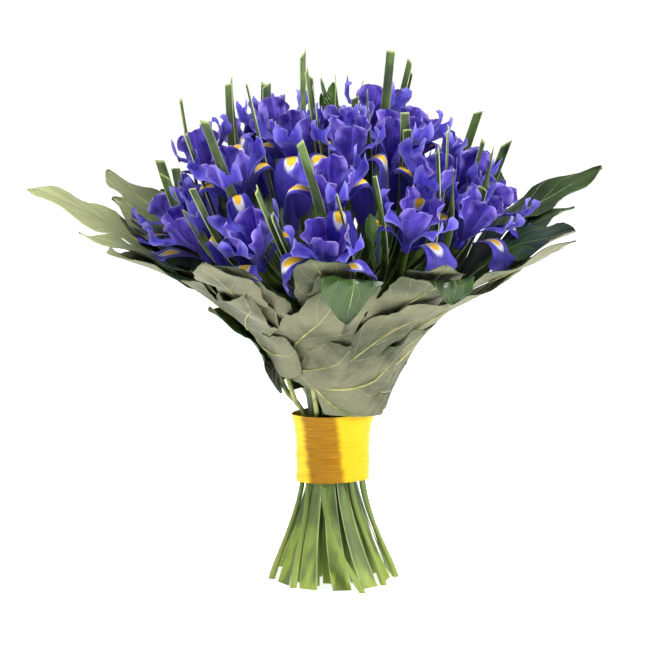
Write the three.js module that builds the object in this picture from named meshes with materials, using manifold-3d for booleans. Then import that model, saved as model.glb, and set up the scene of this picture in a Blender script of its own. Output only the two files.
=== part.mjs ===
// A hand-tied bouquet of blue Dutch irises with a collar of fatsia leaves, standing on its
// fanned, flat-cut stem ends. Millimetres, +Z up, the origin in the cut end of the middle stem.
// The front faces -Y. Azimuths are in degrees from +X, counter-clockwise seen from above.
import * as THREE from 'three';
import { mergeGeometries, mergeVertices } from 'three/addons/utils/BufferGeometryUtils.js';
import Module from 'manifold-3d';

const wasm = await Module();
wasm.setup();

// ---- The bundle: every stem keeps its place in the section at the tie, and each other level
// is that section made wider and turned a little, so nothing in the bundle crosses.
const tieLevel = 100;
const tieStiffness = 12;
const footFlare = 0.0126;
const neckTop = 300;
const neckFlare = 4.57;
const neckCurve = 3.6;
const headFlare = 0.016;
const headSettle = 22;
const footTurn = -0.17;
const headTurn = -0.1;

// ---- Irises: where each bloom is set on its stem, from the middle of the head outwards
const irisRings = [
  { name: 'center', reach: 3, height: 402, tilt: 3, azimuths: [120], turns: [20] },
  {
    name: 'inner', reach: 59, height: 396, tilt: 12,
    azimuths: [236, 282, 330, 50, 150],
    turns: [30, 55, -20, 10, 70],
  },
  {
    name: 'middle', reach: 109, height: 368, tilt: 26,
    azimuths: [170, 222, 270, 316, 8, 52, 96, 134],
    turns: [40, 50, 10, 60, -15, 30, 0, 45],
  },
  {
    name: 'outer', reach: 129, height: 322, tilt: 32,
    azimuths: [176, 208, 240, 268, 300, 332, 2, 42, 86, 131],
    turns: [10, -20, 8, 50, 15, 0, -25, 20, -15, 45],
  },
];
const heightSpread = 24;
const stemFootRadius = 4.2;
const stemTieRadius = 2.5;
const stemHeadRadius = 3.1;
const spatheRadius = 5;
const neckGap = 0.4;
const stemSides = 4;
const stemRows = [0, 100, 170, 230, 270, 300, 325];

// ---- Petals: stations along a petal as [out from the axis, up the axis, half the width]
const fallStations = [[3.7, 3.5, 1.4], [26, 27, 8], [44, 14, 16], [44, -22, 9]];
const restingStations = [[3.7, 3.5, 1.4], [26, 27, 8], [44, 18, 15], [53, -4, 9]];
const standardStations = [[3.4, 9.5, 1.2], [8, 22, 3.5], [15, 41, 12], [17, 60, 6]];
const styleStations = [[3.4, 9.5, 1.2], [13, 28.5, 6], [30, 50, 9]];
const petalThickness = 0.9;
const heartRadius = 4.4;
const heartLevels = [0, 6.5, 13];
const heartTaper = 0.85;
const petalClearance = 3.8;
const fallsAboveCollar = 14;
const pressedOut = 0.3;

// ---- Strap leaves: half width at a level
const leafThickness = 1.2;
const strapHalfWidth = [[0, 9.2], [100, 4.6], [160, 4.6], [300, 5.5], [350, 4.6], [500, 4]];
const bladeHalfWidth = [[170, 1.6], [230, 4], [300, 5.5], [350, 4.6], [500, 4]];
const leafWallGap = 1.3;
const strapSplay = 6;
const berthSwing = 1.6;
const leafRows = [0, 100, 170, 230, 270, 300, 325, 360];
const leafNode = 170;

// ---- Collar of fatsia leaves: the flared surface that the leaves lie on, in shingled layers
const collarFoot = { reach: 39, height: 165 };
const collarRise = 80;
const collarBend = 28;
const collarSlope = 0.45;
const collarCone = 45;
const collarLift = [
  [0, 30], [20, 44], [70, 26], [110, 24], [140, 24], [160, 34], [180, 20], [198, 4], [225, 8],
  [270, 14], [315, 2], [335, -4], [360, 30],
];
const layerStep = 0.12;
const overlapStep = 0.04;
const bladeThickness = 1;
const lobeAngles = [-112, -76, -38, 0, 38, 76, 112];
const lobeLengths = [80, 115, 140, 150, 140, 115, 80];
const lobeHalfWidth = 23;
const petioleReach = 28.2;
const petioleRadius = 2.3;
const leanReach = 4.9;
const tuckFrom = 60;
const tuckedPart = 0.4;
const foldRadius = 5;
const foldAngle = 2.5;
const foldSlant = 0.35;
const foldedPart = 0.33;
const fatsias = [
  { name: 'left', azimuth: 180, seat: 175.5, climb: 84, size: 1.6, roll: 4 },
  { name: 'front_left', azimuth: 213, seat: 214, climb: 54, size: 1.58, roll: -9 },
  { name: 'front', azimuth: 247, seat: 246, climb: 34, size: 1.5, roll: 30, lean: 30, fold: 186 },
  { name: 'front_right', azimuth: 292, seat: 306, climb: 36, size: 1.5, roll: 10 },
  { name: 'right', azimuth: 334, seat: 338, climb: 70, size: 1.45, roll: -4 },
  { name: 'back_right', azimuth: 14, seat: 9, climb: 78, size: 1.5, roll: 0 },
  { name: 'back', azimuth: 75, seat: 86, climb: 62, size: 1.4, roll: -10 },
  { name: 'back_left', azimuth: 130, seat: 130.5, climb: 58, size: 1.3, roll: 12 },
];

// ---- Small sprigs of filler foliage among the blooms
const sprigs = [
  { name: 'front', azimuth: 284, reach: 142, height: 352 },
  { name: 'top', azimuth: 94, reach: 45, height: 448 },
];
const sprigShare = -8.5;
const sprigRadius = 1.3;

// ---- The tie and the ribbon over it, as radii in the section at the tie
const twine = { inner: 31.2, outer: 32.3, bottom: 121, top: 131 };
const ribbon = { inner: 32.6, outer: 33.6, bottom: 94, top: 160, turns: 3, lap: 0.5, lip: 2.4 };
const bandSegments = 24;

// ---- Colours from the photograph
const finishes = {
  petal: { color: 0x4a35b4, roughness: 0.6 },
  stem: { color: 0x6f8f3c, roughness: 0.6 },
  fatsia: { color: 0x4f7335, roughness: 0.4 },
  sprig: { color: 0x6c8f35, roughness: 0.6 },
  ribbon: { color: 0xf0b81e, roughness: 0.35 },
  twine: { color: 0xb79a63, roughness: 0.9 },
};

const bouquet = new THREE.Group();
bouquet.name = 'iris_bouquet';
const radians = THREE.MathUtils.degToRad;
const smooth = THREE.MathUtils.smoothstep;
const mix = THREE.MathUtils.lerp;

function addPart(name, geometry, finish) {
  const material = new THREE.MeshStandardMaterial({ ...finishes[finish], metalness: 0 });
  const mesh = new THREE.Mesh(geometry, material);
  mesh.name = name;
  bouquet.add(mesh);
}

// A repeatable draw between 0 and 1.
function draw(number) {
  const wave = Math.sin(number * 127.1 + 11.7) * 43758.5453;
  return wave - Math.floor(wave);
}

// A value read from a list of [level, value] pairs.
function along(list, level) {
  const next = list.findIndex((pair) => pair[0] > level);
  if (next < 0) return list[list.length - 1][1];
  if (next === 0) return list[0][1];
  const [from, to] = [list[next - 1], list[next]];
  return mix(from[1], to[1], (level - from[0]) / (to[0] - from[0]));
}

// ---- The bundle's levels
function spread(z) {
  if (z < tieLevel) {
    return 1 + footFlare * (Math.hypot(tieLevel - z, tieStiffness) - tieStiffness);
  }
  const neck = neckTop - tieLevel;
  if (z < neckTop) return 1 + neckFlare * ((z - tieLevel) / neck) ** neckCurve;
  const above = z - neckTop;
  const bend = (neckFlare * neckCurve) / neck - headFlare;
  const settled = headSettle * (1 - Math.exp(-above / headSettle));
  return 1 + neckFlare + headFlare * above + bend * settled;
}

function turned(z) {
  return radians((z < tieLevel ? footTurn : headTurn) * (z - tieLevel));
}

// From a seat in the section at the tie to a point at another level, and back.
function place(seat, z) {
  const point = seat.clone().rotateAround(new THREE.Vector2(), turned(z));
  point.multiplyScalar(spread(z));
  return new THREE.Vector3(point.x, point.y, z);
}

function seatOf(point) {
  const seat = new THREE.Vector2(point.x, point.y).divideScalar(spread(point.z));
  return seat.rotateAround(new THREE.Vector2(), -turned(point.z));
}

function polar(reach, azimuth) {
  const angle = radians(azimuth);
  return new THREE.Vector2(reach * Math.cos(angle), reach * Math.sin(angle));
}

function seatUnder(reach, azimuth, z) {
  const flat = polar(reach, azimuth);
  return seatOf(new THREE.Vector3(flat.x, flat.y, z));
}

// ---- Solids from surfaces
function geometryOf(points, faces) {
  const geometry = new THREE.BufferGeometry();
  const numbers = points.flatMap((point) => [point.x, point.y, point.z]);
  geometry.setAttribute('position', new THREE.Float32BufferAttribute(numbers, 3));
  geometry.setIndex(faces.flat());
  return geometry;
}

function toSolid(geometry) {
  const bare = geometry.clone();
  bare.deleteAttribute('normal');
  bare.deleteAttribute('uv');
  const merged = mergeVertices(bare);
  const vertProperties = new Float32Array(merged.attributes.position.array);
  const triVerts = new Uint32Array(merged.index.array);
  return new wasm.Manifold(new wasm.Mesh({ numProp: 3, vertProperties, triVerts }));
}

// Pieces joined into one body. A pocket that the joining closes off is filled.
function fused(geometries) {
  const solids = geometries.map(toSolid);
  const whole = solids.reduce((sum, solid) => sum.add(solid));
  const shells = whole.decompose();
  shells.sort((first, second) => second.volume() - first.volume());
  const mesh = shells[0].getMesh();
  const geometry = new THREE.BufferGeometry();
  geometry.setAttribute('position', new THREE.BufferAttribute(mesh.vertProperties, 3));
  geometry.setIndex(new THREE.BufferAttribute(mesh.triVerts, 1));
  return geometry;
}

// Triangles between two rows of points, which may differ in number.
function zip(first, second) {
  const faces = [];
  let a = 0;
  let b = 0;
  while (a < first.length - 1 || b < second.length - 1) {
    const nextA = a < first.length - 1 ? (a + 1) / (first.length - 1) : Infinity;
    const nextB = b < second.length - 1 ? (b + 1) / (second.length - 1) : Infinity;
    if (nextA < nextB) {
      faces.push([first[a], second[b], first[a + 1]]);
      a += 1;
    } else {
      faces.push([first[a], second[b], second[b + 1]]);
      b += 1;
    }
  }
  return faces;
}

// A sheet of even thickness round a middle surface: both sides have the same triangles.
// An open root leaves out the wall between the first two points, to be joined to a hole.
function sheet(points, faces, thickness, openRoot) {
  const normals = points.map(() => new THREE.Vector3());
  for (const [a, b, c] of faces) {
    const side = points[b].clone().sub(points[a]);
    const face = side.cross(points[c].clone().sub(points[a]));
    for (const corner of [a, b, c]) normals[corner].add(face);
  }
  const shift = normals.map((normal) => normal.normalize().multiplyScalar(thickness / 2));
  const top = points.map((point, i) => point.clone().add(shift[i]));
  const bottom = points.map((point, i) => point.clone().sub(shift[i]));
  const count = points.length;
  const edges = new Map();
  for (const [a, b, c] of faces) {
    for (const [from, to] of [[a, b], [b, c], [c, a]]) {
      if (!edges.delete(`${to},${from}`)) edges.set(`${from},${to}`, [from, to]);
    }
  }
  const under = faces.map(([a, b, c]) => [a + count, c + count, b + count]);
  if (openRoot) edges.delete('1,0');
  const rim = [...edges.values()].flatMap(([from, to]) => [
    [to, from, from + count],
    [to, from + count, to + count],
  ]);
  return geometryOf([...top, ...bottom], [...faces, ...under, ...rim]);
}

// The corners of a sheet's open root, from its lower left, counter-clockwise seen from outside.
function rootCorners(geometry) {
  const position = geometry.attributes.position;
  const count = position.count / 2;
  return [count, count + 1, 1, 0].map((corner) => {
    return new THREE.Vector3().fromBufferAttribute(position, corner);
  });
}

function sheetOfRows(rows, thickness, openRoot) {
  const points = rows.flat();
  let start = 0;
  const numbered = rows.map((row) => {
    const numbers = row.map((point, i) => start + i);
    start += row.length;
    return numbers;
  });
  const faces = numbered.slice(1).flatMap((row, i) => zip(numbered[i], row));
  return sheet(points, faces, thickness, openRoot);
}

// A closed body through rings of equally many points.
function loft(rings) {
  const sides = rings[0].length;
  const points = rings.flat();
  const faces = [];
  for (let ring = 0; ring < rings.length - 1; ring += 1) {
    for (let i = 0; i < sides; i += 1) {
      const low = ring * sides + i;
      const lowNext = ring * sides + ((i + 1) % sides);
      faces.push([low, lowNext, lowNext + sides]);
      faces.push([low, lowNext + sides, low + sides]);
    }
  }
  const last = (rings.length - 1) * sides;
  for (let i = 1; i < sides - 1; i += 1) {
    faces.push([0, i + 1, i]);
    faces.push([last, last + i, last + i + 1]);
  }
  return geometryOf(points, faces);
}

function ringAround(center, direction, radius, phase, sides) {
  const flat = new THREE.Vector3(center.x, center.y, 0);
  if (flat.length() < 1) flat.set(1, 0, 0);
  const across = new THREE.Vector3(-flat.y, flat.x, 0).normalize();
  across.addScaledVector(direction, -across.dot(direction)).normalize();
  const up = direction.clone().cross(across);
  return Array.from({ length: sides }, (unused, i) => {
    const angle = phase + (2 * Math.PI * i) / sides;
    const point = center.clone().addScaledVector(across, radius * Math.cos(angle));
    return point.addScaledVector(up, radius * Math.sin(angle));
  });
}

// The ring where a stem is cut level with the surface that the bouquet stands on.
function cutRing(ring, direction) {
  return ring.map((point) => point.clone().addScaledVector(direction, -point.z / direction.z));
}

// ---- The collar
function collarHeight(reach, azimuth) {
  const out = Math.max(reach - collarFoot.reach, 0);
  const rise = collarRise * (1 - Math.exp(-out / collarBend)) + collarSlope * out;
  const lift = along(collarLift, (azimuth + 360) % 360);
  const wave = 5 * Math.sin(radians(azimuth * 5 + reach * 0.9)) * smooth(reach, 70, 150);
  return collarFoot.height + rise + lift * smooth(reach, 110, 190) + wave;
}

const collarLengths = [0];
const collarStep = 1;
while (collarLengths.length < 300) {
  const reach = collarFoot.reach + (collarLengths.length - 0.5) * collarStep;
  const bend = (collarRise / collarBend) * Math.exp(-(reach - collarFoot.reach) / collarBend);
  const length = Math.hypot(1, bend + collarSlope) * collarStep;
  collarLengths.push(collarLengths[collarLengths.length - 1] + length);
}

function collarReach(length) {
  const next = Math.max(collarLengths.findIndex((value) => value > length), 1);
  const from = collarLengths[next - 1];
  const part = (length - from) / (collarLengths[next] - from);
  return collarFoot.reach + (next - 1 + part) * collarStep;
}

function collarPoint(length, azimuth, depth) {
  const reach = collarReach(Math.max(length, 0));
  const out = reach - collarFoot.reach;
  const bend = (collarRise / collarBend) * Math.exp(-out / collarBend) + collarSlope;
  const normal = new THREE.Vector2(bend, -1).normalize();
  const flat = polar(reach + normal.x * depth, azimuth);
  const height = collarHeight(reach, azimuth) + normal.y * depth;
  return new THREE.Vector3(flat.x, flat.y, height);
}

// ---- Seats and shares: every stem owns the part of the section that lies nearest to it
const irises = irisRings.flatMap((ring) => ring.azimuths.map((azimuth, i) => {
  const name = ring.azimuths.length > 1 ? `${ring.name}_${i + 1}` : ring.name;
  const number = name.length * 7 + i * 13 + ring.reach;
  const height = ring.height + heightSpread * (draw(number) - 0.5);
  const seat = seatUnder(ring.reach, azimuth, height);
  return { ...ring, name, number, height, seat, azimuth, turn: ring.turns[i], share: 0 };
}));
irises[0].seat.set(0, 0);
const fillers = sprigs.map((sprig) => ({
  ...sprig, seat: seatUnder(sprig.reach, sprig.azimuth, sprig.height), share: sprigShare,
}));
const seated = [...irises, ...fillers];
for (const one of seated) {
  one.screens = [];
  one.walls = seated.filter((other) => other !== one).map((other) => {
    const toward = other.seat.clone().sub(one.seat);
    const gap = toward.length();
    const distance = (gap * gap + one.share - other.share) / (2 * gap);
    return { other, normal: toward.divideScalar(gap), distance };
  });
  one.walls.sort((first, second) => first.distance - second.distance);
}

const wallEdge = 0.5;
const farthestBerth = 4.4;
// Whether a wall is really one side of its owner's share, near the middle of that side.
function bounds(owner, wall) {
  const foot = wall.normal.clone().multiplyScalar(wall.distance);
  return owner.walls.every((other) => {
    return other === wall || other.normal.dot(foot) < other.distance - wallEdge;
  });
}

// Where a leaf can stand on one side of its stem: by the wall nearest to that direction.
function berthToward(owner, aim) {
  const toward = new THREE.Vector2(Math.cos(aim), Math.sin(aim));
  const facing = owner.walls.filter((wall) => bounds(owner, wall) && wall.normal.dot(toward) > 0.8);
  if (facing.length) return { aim: facing[0].normal.angle(), distance: facing[0].distance };
  const distance = owner.walls.reduce((least, wall) => {
    const slope = wall.normal.dot(toward);
    return slope > 0.05 ? Math.min(least, wall.distance / slope) : least;
  }, farthestBerth);
  owner.screens.push({ normal: toward, distance });
  return { aim, distance };
}

// Draws a point in softly, so that it stays in its owner's share and off the collar.
const wallSharpness = 6;
function keepIn(owner, point) {
  const result = point.clone();
  const azimuth = THREE.MathUtils.radToDeg(Math.atan2(point.y, point.x));
  const low = collarHeight(Math.hypot(point.x, point.y), azimuth) + fallsAboveCollar;
  const ease = 10;
  if (result.z < low + ease) {
    result.z = low + ease * Math.exp((point.z - low - ease) / ease);
    const away = point.clone().sub(place(owner.seat, owner.height)).setZ(0).normalize();
    result.addScaledVector(away, pressedOut * (result.z - point.z));
  }
  const offset = seatOf(result).sub(owner.seat);
  const length = offset.length();
  const direction = offset.clone().divideScalar(length || 1);
  const margin = petalClearance / spread(result.z);
  const pressure = [...owner.walls, ...owner.screens].reduce((sum, wall) => {
    const facing = Math.max(wall.normal.dot(direction), 0);
    return sum + (facing / Math.max(wall.distance - margin, 0.1)) ** wallSharpness;
  }, 0);
  const room = pressure > 0 ? pressure ** (-1 / wallSharpness) : Infinity;
  const fill = length / room;
  const kept = fill < 0.7 ? fill : 0.7 + 0.3 * Math.tanh((fill - 0.7) / 0.3);
  const seat = owner.seat.clone();
  seat.addScaledVector(direction, fill > 0 ? (length * kept) / fill : length);
  return place(seat, result.z);
}

// ---- Blooms
function bloomFrame(iris) {
  const base = place(iris.seat, iris.height);
  const out = polar(1, iris.azimuth);
  const tilt = radians(iris.tilt);
  const axis = new THREE.Vector3(out.x * Math.sin(tilt), out.y * Math.sin(tilt), Math.cos(tilt));
  const outward = new THREE.Vector3(out.x, out.y, 0);
  outward.addScaledVector(axis, -outward.dot(axis)).normalize();
  const sideways = axis.clone().cross(outward);
  return { base, axis, outward, sideways };
}

function inFrame(frame, angle, reach, height, aside) {
  const out = frame.outward.clone().multiplyScalar(Math.cos(angle));
  out.addScaledVector(frame.sideways, Math.sin(angle));
  const side = frame.axis.clone().cross(out);
  const point = frame.base.clone().addScaledVector(out, reach);
  return point.addScaledVector(side, aside).addScaledVector(frame.axis, height);
}

function petal(iris, frame, angle, stations) {
  const rows = stations.map(([reach, height, half], i) => [-1, 1].map((step) => {
    const point = inFrame(frame, angle, reach, height, half * step);
    return i === 0 ? point : keepIn(iris, point);
  }));
  return sheetOfRows(rows, petalThickness, true);
}

// The heart is a six-sided stub. Each side opens into the petals that grow from it.
function heart(iris, frame, petalsAt) {
  const rings = heartLevels.map((height, i) => {
    const radius = heartRadius * (i === heartLevels.length - 1 ? heartTaper : 1);
    return Array.from({ length: 6 }, (unused, k) => {
      return inFrame(frame, radians(iris.turn + 60 * k - 30), radius, height, 0);
    });
  });
  const points = [];
  const faces = [];
  const add = (corners, list) => {
    const start = points.length;
    points.push(...corners);
    faces.push(...list.map((face) => face.map((corner) => corner + start)));
  };
  for (let level = 0; level < rings.length - 1; level += 1) {
    for (let k = 0; k < 6; k += 1) {
      const next = (k + 1) % 6;
      const [low, high] = [rings[level], rings[level + 1]];
      const outer = [low[k], low[next], high[next], high[k]];
      const grown = petalsAt[level][k];
      if (grown) {
        const ways = [0, 1, 2, 3].flatMap((i) => [
          [i, (i + 1) % 4, 4 + ((i + 1) % 4)],
          [i, 4 + ((i + 1) % 4), 4 + i],
        ]);
        add([...outer, ...rootCorners(grown)], ways);
      } else {
        add(outer, [[0, 1, 2], [0, 2, 3]]);
      }
    }
  }
  add(rings[0], [[0, 2, 1], [0, 3, 2], [0, 4, 3], [0, 5, 4]]);
  add(rings[rings.length - 1], [[0, 1, 2], [0, 2, 3], [0, 3, 4], [0, 4, 5]]);
  return geometryOf(points, faces);
}

function makeBloom(iris) {
  const frame = bloomFrame(iris);
  const petalsAt = [[], []];
  for (let k = 0; k < 6; k += 2) {
    const angle = radians(iris.turn + 60 * k);
    const resting = iris.name.startsWith('outer') && Math.cos(angle) > 0.5;
    petalsAt[0][k] = petal(iris, frame, angle, resting ? restingStations : fallStations);
    petalsAt[1][k] = petal(iris, frame, angle, styleStations);
    petalsAt[1][k + 1] = petal(iris, frame, angle + Math.PI / 3, standardStations);
  }
  const petals = petalsAt.flat().filter((one) => one);
  const whole = mergeVertices(mergeGeometries([heart(iris, frame, petalsAt), ...petals]));
  addPart(`iris_bloom_${iris.name}`, whole, 'petal');
}

// ---- Stems with their strap leaves
function stemDirection(seat, z) {
  return place(seat, z + 1).sub(place(seat, z - 1)).normalize();
}

function stemRadius(z) {
  return along([[0, stemFootRadius], [tieLevel, stemTieRadius], [300, stemHeadRadius]], z);
}

function makeStemTube(iris, phase) {
  const frame = bloomFrame(iris);
  const rings = stemRows.filter((z) => z < iris.height - 32).map((z) => {
    const direction = stemDirection(iris.seat, z);
    const ring = ringAround(place(iris.seat, z), direction, stemRadius(z), phase, stemSides);
    return z === 0 ? cutRing(ring, direction) : ring;
  });
  const under = place(iris.seat, iris.height - 24);
  const direction = stemDirection(iris.seat, iris.height - 24);
  rings.push(ringAround(under, direction, spatheRadius, phase, stemSides));
  const top = frame.base.clone().addScaledVector(frame.axis, -neckGap);
  rings.push(ringAround(top, frame.axis, heartRadius, phase, stemSides));
  return loft(rings);
}

// One strap leaf: it hugs its own stem below, and stands by the wall of its stem's share above.
function makeStrap(iris, leaf) {
  const first = leaf.fromFloor ? 0 : leafNode;
  const levels = [...leafRows.filter((z) => z >= first && z < leaf.top - 12), leaf.top];
  const rows = levels.map((z, i) => {
    const scale = spread(z);
    const rise = smooth(z, 145, 285);
    const start = leaf.fromFloor ? iris.seat.angle() : leaf.aim;
    let swing = leaf.aim - start;
    if (swing > Math.PI) swing -= 2 * Math.PI;
    if (swing < -Math.PI) swing += 2 * Math.PI;
    const angle = start + swing * rise;
    const wallDistance = leaf.distance - leafWallGap / scale;
    const hug = (stemRadius(z) * 0.81 + 0.35) / scale;
    const splay = leaf.outside ? strapSplay * Math.max(1 - z / tieLevel, 0) : 0;
    const close = leaf.outside ? hug + splay : Math.min(hug, wallDistance);
    const distance = z === leafNode && !leaf.fromFloor ? 0 : mix(close, wallDistance, rise);
    const normal = new THREE.Vector2(Math.cos(angle), Math.sin(angle));
    const across = new THREE.Vector2(-normal.y, normal.x);
    const half = along(leaf.fromFloor ? strapHalfWidth : bladeHalfWidth, z) / scale;
    const center = iris.seat.clone().addScaledVector(normal, distance);
    const last = i === levels.length - 1;
    if (last && leaf.pointed) return [place(center, z)];
    const slant = last ? leaf.slant : 0;
    return [-1, 1].map((step) => {
      const free = iris.walls.reduce((least, wall) => {
        const facing = wall.normal.dot(across) * step;
        if (facing < 0.05) return least;
        const used = wall.normal.dot(normal) * distance;
        return Math.min(least, (wall.distance - 0.9 / scale - used) / facing);
      }, half);
      const corner = center.clone().addScaledVector(across, Math.max(free, 0.3) * step);
      return place(corner, z + slant * step);
    });
  });
  const geometry = sheetOfRows(rows, leafThickness);
  const position = geometry.attributes.position;
  const count = position.count / 2;
  if (leaf.fromFloor) for (const corner of [0, 1, count, count + 1]) position.setZ(corner, 0);
  return geometry;
}

function makeLeafyStem(iris, order) {
  const outside = iris.name.startsWith('outer');
  const tall = iris.height + 50 * Math.cos(radians(iris.tilt));
  const outward = iris.seat.angle();
  const sides = outside ? [outward + berthSwing, outward - berthSwing] : [];
  const walls = iris.walls.filter((wall) => wall.other.share === 0 && bounds(iris, wall));
  const berths = outside
    ? sides.map((aim) => berthToward(iris, aim))
    : walls.map((wall) => ({ aim: wall.normal.angle(), distance: wall.distance }));
  const leaves = [{
    outside,
    fromFloor: outside || iris.name.startsWith('middle'),
    ...berths[outside ? order % 2 : 0],
    top: tall + mix(10, 54, draw(iris.number + 0.3)),
    slant: mix(-4, 4, draw(iris.number + 0.5)),
    pointed: draw(iris.number + 0.7) > 0.8,
  }];
  leaves.push({
    outside: false,
    fromFloor: false,
    ...berths[outside ? (order + 1) % 2 : Math.min(2, berths.length - 1)],
    top: tall + mix(6, 50, draw(iris.number + 0.9)),
    slant: mix(-4, 4, draw(iris.number + 1.1)),
    pointed: draw(iris.number + 1.3) > 0.75,
  });
  const facing = outside ? 0 : leaves[0].aim - outward;
  const phase = facing - Math.PI / 2 + Math.PI / stemSides;
  const pieces = [makeStemTube(iris, phase), ...leaves.map((leaf) => makeStrap(iris, leaf))];
  addPart(`iris_stem_${iris.name}`, fused(pieces), 'stem');
}

// ---- Fatsia leaves
// A lobe that swings far round the ribbon is tucked in, so that it covers less of the way round.
// The middle lobe of a leaf with a fold: what lies past the fold is turned over outwards.
function turnedOver(out, across, start) {
  const past = Math.max(out - start - foldSlant * across, 0);
  const curl = Math.min(past / foldRadius, foldAngle);
  const rest = past - curl * foldRadius;
  return {
    out: out - past + foldRadius * Math.sin(curl) + rest * Math.cos(curl),
    depth: foldRadius * (1 - Math.cos(curl)) + rest * Math.sin(curl),
  };
}

function makeFatsia(fatsia) {
  const coneSine = Math.sin(radians(collarCone));
  const apex = collarFoot.reach / coneSine;
  const roll = radians(fatsia.roll);
  const lay = (reach, across) => {
    const folded = fatsia.fold && Math.abs(Math.atan2(across, reach)) < foldedPart;
    const { out, depth } = turnedOver(reach, across, folded ? fatsia.fold : Infinity);
    const forward = apex + fatsia.climb + out * Math.cos(roll) - across * Math.sin(roll);
    const aside = out * Math.sin(roll) + across * Math.cos(roll);
    const free = THREE.MathUtils.radToDeg(Math.atan2(aside, forward)) / coneSine;
    const swing = Math.min(free, tuckFrom) + tuckedPart * Math.max(free - tuckFrom, 0);
    const length = Math.max(Math.hypot(forward, aside) - apex, 2);
    const layer = layerStep * swing + (swing > 0 ? overlapStep * swing : 0);
    return collarPoint(length, fatsia.azimuth + swing, layer + depth);
  };
  const points = [lay(0, 0)];
  const faces = [];
  const add = (reach, angle, across) => {
    const turn = radians(angle);
    const out = reach * Math.cos(turn) - across * Math.sin(turn);
    const aside = reach * Math.sin(turn) + across * Math.cos(turn);
    points.push(lay(out, aside));
    return points.length - 1;
  };
  const sinus = [0.2, 0.42].map((part) => {
    const between = lobeAngles.slice(1).map((angle, i) => {
      const length = Math.min(lobeLengths[i], lobeLengths[i + 1]) * fatsia.size;
      return add(length * part, (angle + lobeAngles[i]) / 2, 0);
    });
    const edge = lobeLengths[0] * fatsia.size * part;
    const first = add(edge, lobeAngles[0] - 24, 0);
    const last = add(edge, lobeAngles[lobeAngles.length - 1] + 24, 0);
    return [first, ...between, last];
  });
  lobeAngles.forEach((angle, lobe) => {
    const length = lobeLengths[lobe] * fatsia.size;
    const half = lobeHalfWidth * fatsia.size * (0.55 + 0.45 * (lobeLengths[lobe] / 150));
    const inner = [0.2, 0.42].map((part, i) => {
      const middle = add(length * part, angle, 0);
      return [sinus[i][lobe], middle, sinus[i][lobe + 1]];
    });
    const outer = [[0.62, 1], [0.86, 0.72]].map(([part, width]) => {
      return [-1, 0, 1].map((side) => add(length * part, angle, half * width * side));
    });
    const tip = [add(length, angle, 0)];
    const rows = [[0], ...inner, ...outer, tip];
    rows.slice(1).forEach((row, i) => faces.push(...zip(rows[i], row)));
  });
  const blade = sheet(points, faces, bladeThickness);

  const seat = polar(1, fatsia.seat);
  const levels = fatsia.lean ? [0, 50, 100, 130, 161] : [0, 100, 130, 161];
  const low = levels.map((z) => {
    const below = Math.max(1 - z / tieLevel, 0);
    const reach = petioleReach + (fatsia.lean && below ? leanReach : 0);
    const lean = radians((fatsia.lean || 0) * below);
    const where = seat.clone().multiplyScalar(reach).rotateAround(new THREE.Vector2(), lean);
    return place(where, z);
  });
  const high = [0.15, 0.5, 1].map((part) => {
    return collarPoint((fatsia.climb + 5) * part, fatsia.azimuth, 0);
  });
  const path = [...low, ...high];
  const rings = path.map((center, i) => {
    const before = path[Math.max(i - 1, 0)];
    const after = path[Math.min(i + 1, path.length - 1)];
    const direction = after.clone().sub(before).normalize();
    const radius = petioleRadius * (i === 0 ? 1.5 : 1);
    const ring = ringAround(center, direction, radius, 0, stemSides);
    return i === 0 ? cutRing(ring, direction) : ring;
  });
  addPart(`fatsia_leaf_${fatsia.name}`, fused([loft(rings), blade]), 'fatsia');
}

// ---- Sprigs
function makeSprig(sprig) {
  const rings = [...stemRows, sprig.height].map((z) => {
    const direction = stemDirection(sprig.seat, z);
    const radius = sprigRadius * (z > tieLevel ? 1 : 1.3);
    const ring = ringAround(place(sprig.seat, z), direction, radius, 0, 4);
    return z === 0 ? cutRing(ring, direction) : ring;
  });
  const pieces = [loft(rings)];
  const leafStations = [[0, 0, 1], [5, 8, 6], [7, 17, 6], [8, 26, 1.5]];
  [[0, 20], [130, 8], [245, 0]].forEach(([turn, rise]) => {
    const angle = radians(turn + sprig.azimuth);
    const out = new THREE.Vector3(Math.cos(angle), Math.sin(angle), 0);
    const side = new THREE.Vector3(-out.y, out.x, 0);
    const root = place(sprig.seat, sprig.height - 22 + rise);
    const rows = leafStations.map(([reach, height, half], i) => [-1, 1].map((step) => {
      const point = root.clone().addScaledVector(out, reach).addScaledVector(side, half * step);
      point.z += height;
      return i === 0 ? point : keepIn(sprig, point);
    }));
    pieces.push(sheetOfRows(rows, petalThickness));
  });
  addPart(`filler_sprig_${sprig.name}`, fused(pieces), 'sprig');
}

// ---- Bands round the bundle
function addBand(name, outline, finish) {
  const profile = outline.map(([reach, z]) => new THREE.Vector2(reach, z));
  profile.push(profile[0].clone());
  const geometry = new THREE.LatheGeometry(profile, bandSegments);
  geometry.rotateX(Math.PI / 2);
  addPart(name, geometry, finish);
}

function makeRibbon() {
  const outside = [];
  const flared = (z) => ribbon.lip * smooth(z, 135, ribbon.top);
  const step = (ribbon.top - ribbon.bottom) / ribbon.turns;
  for (let i = 0; i < ribbon.turns; i += 1) {
    const low = ribbon.bottom + step * i;
    const high = low + step;
    const lap = i % 2 ? ribbon.lap : 0;
    outside.push([ribbon.outer * spread(low) + lap + flared(low), low]);
    outside.push([ribbon.outer * spread(high) + lap + flared(high), high - 0.5]);
  }
  const inside = [ribbon.top, (ribbon.top + ribbon.bottom) / 2, ribbon.bottom].map((z) => {
    return [ribbon.inner * spread(z) + flared(z), z];
  });
  addBand('ribbon_band', [...outside, ...inside], 'ribbon');
}

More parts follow.
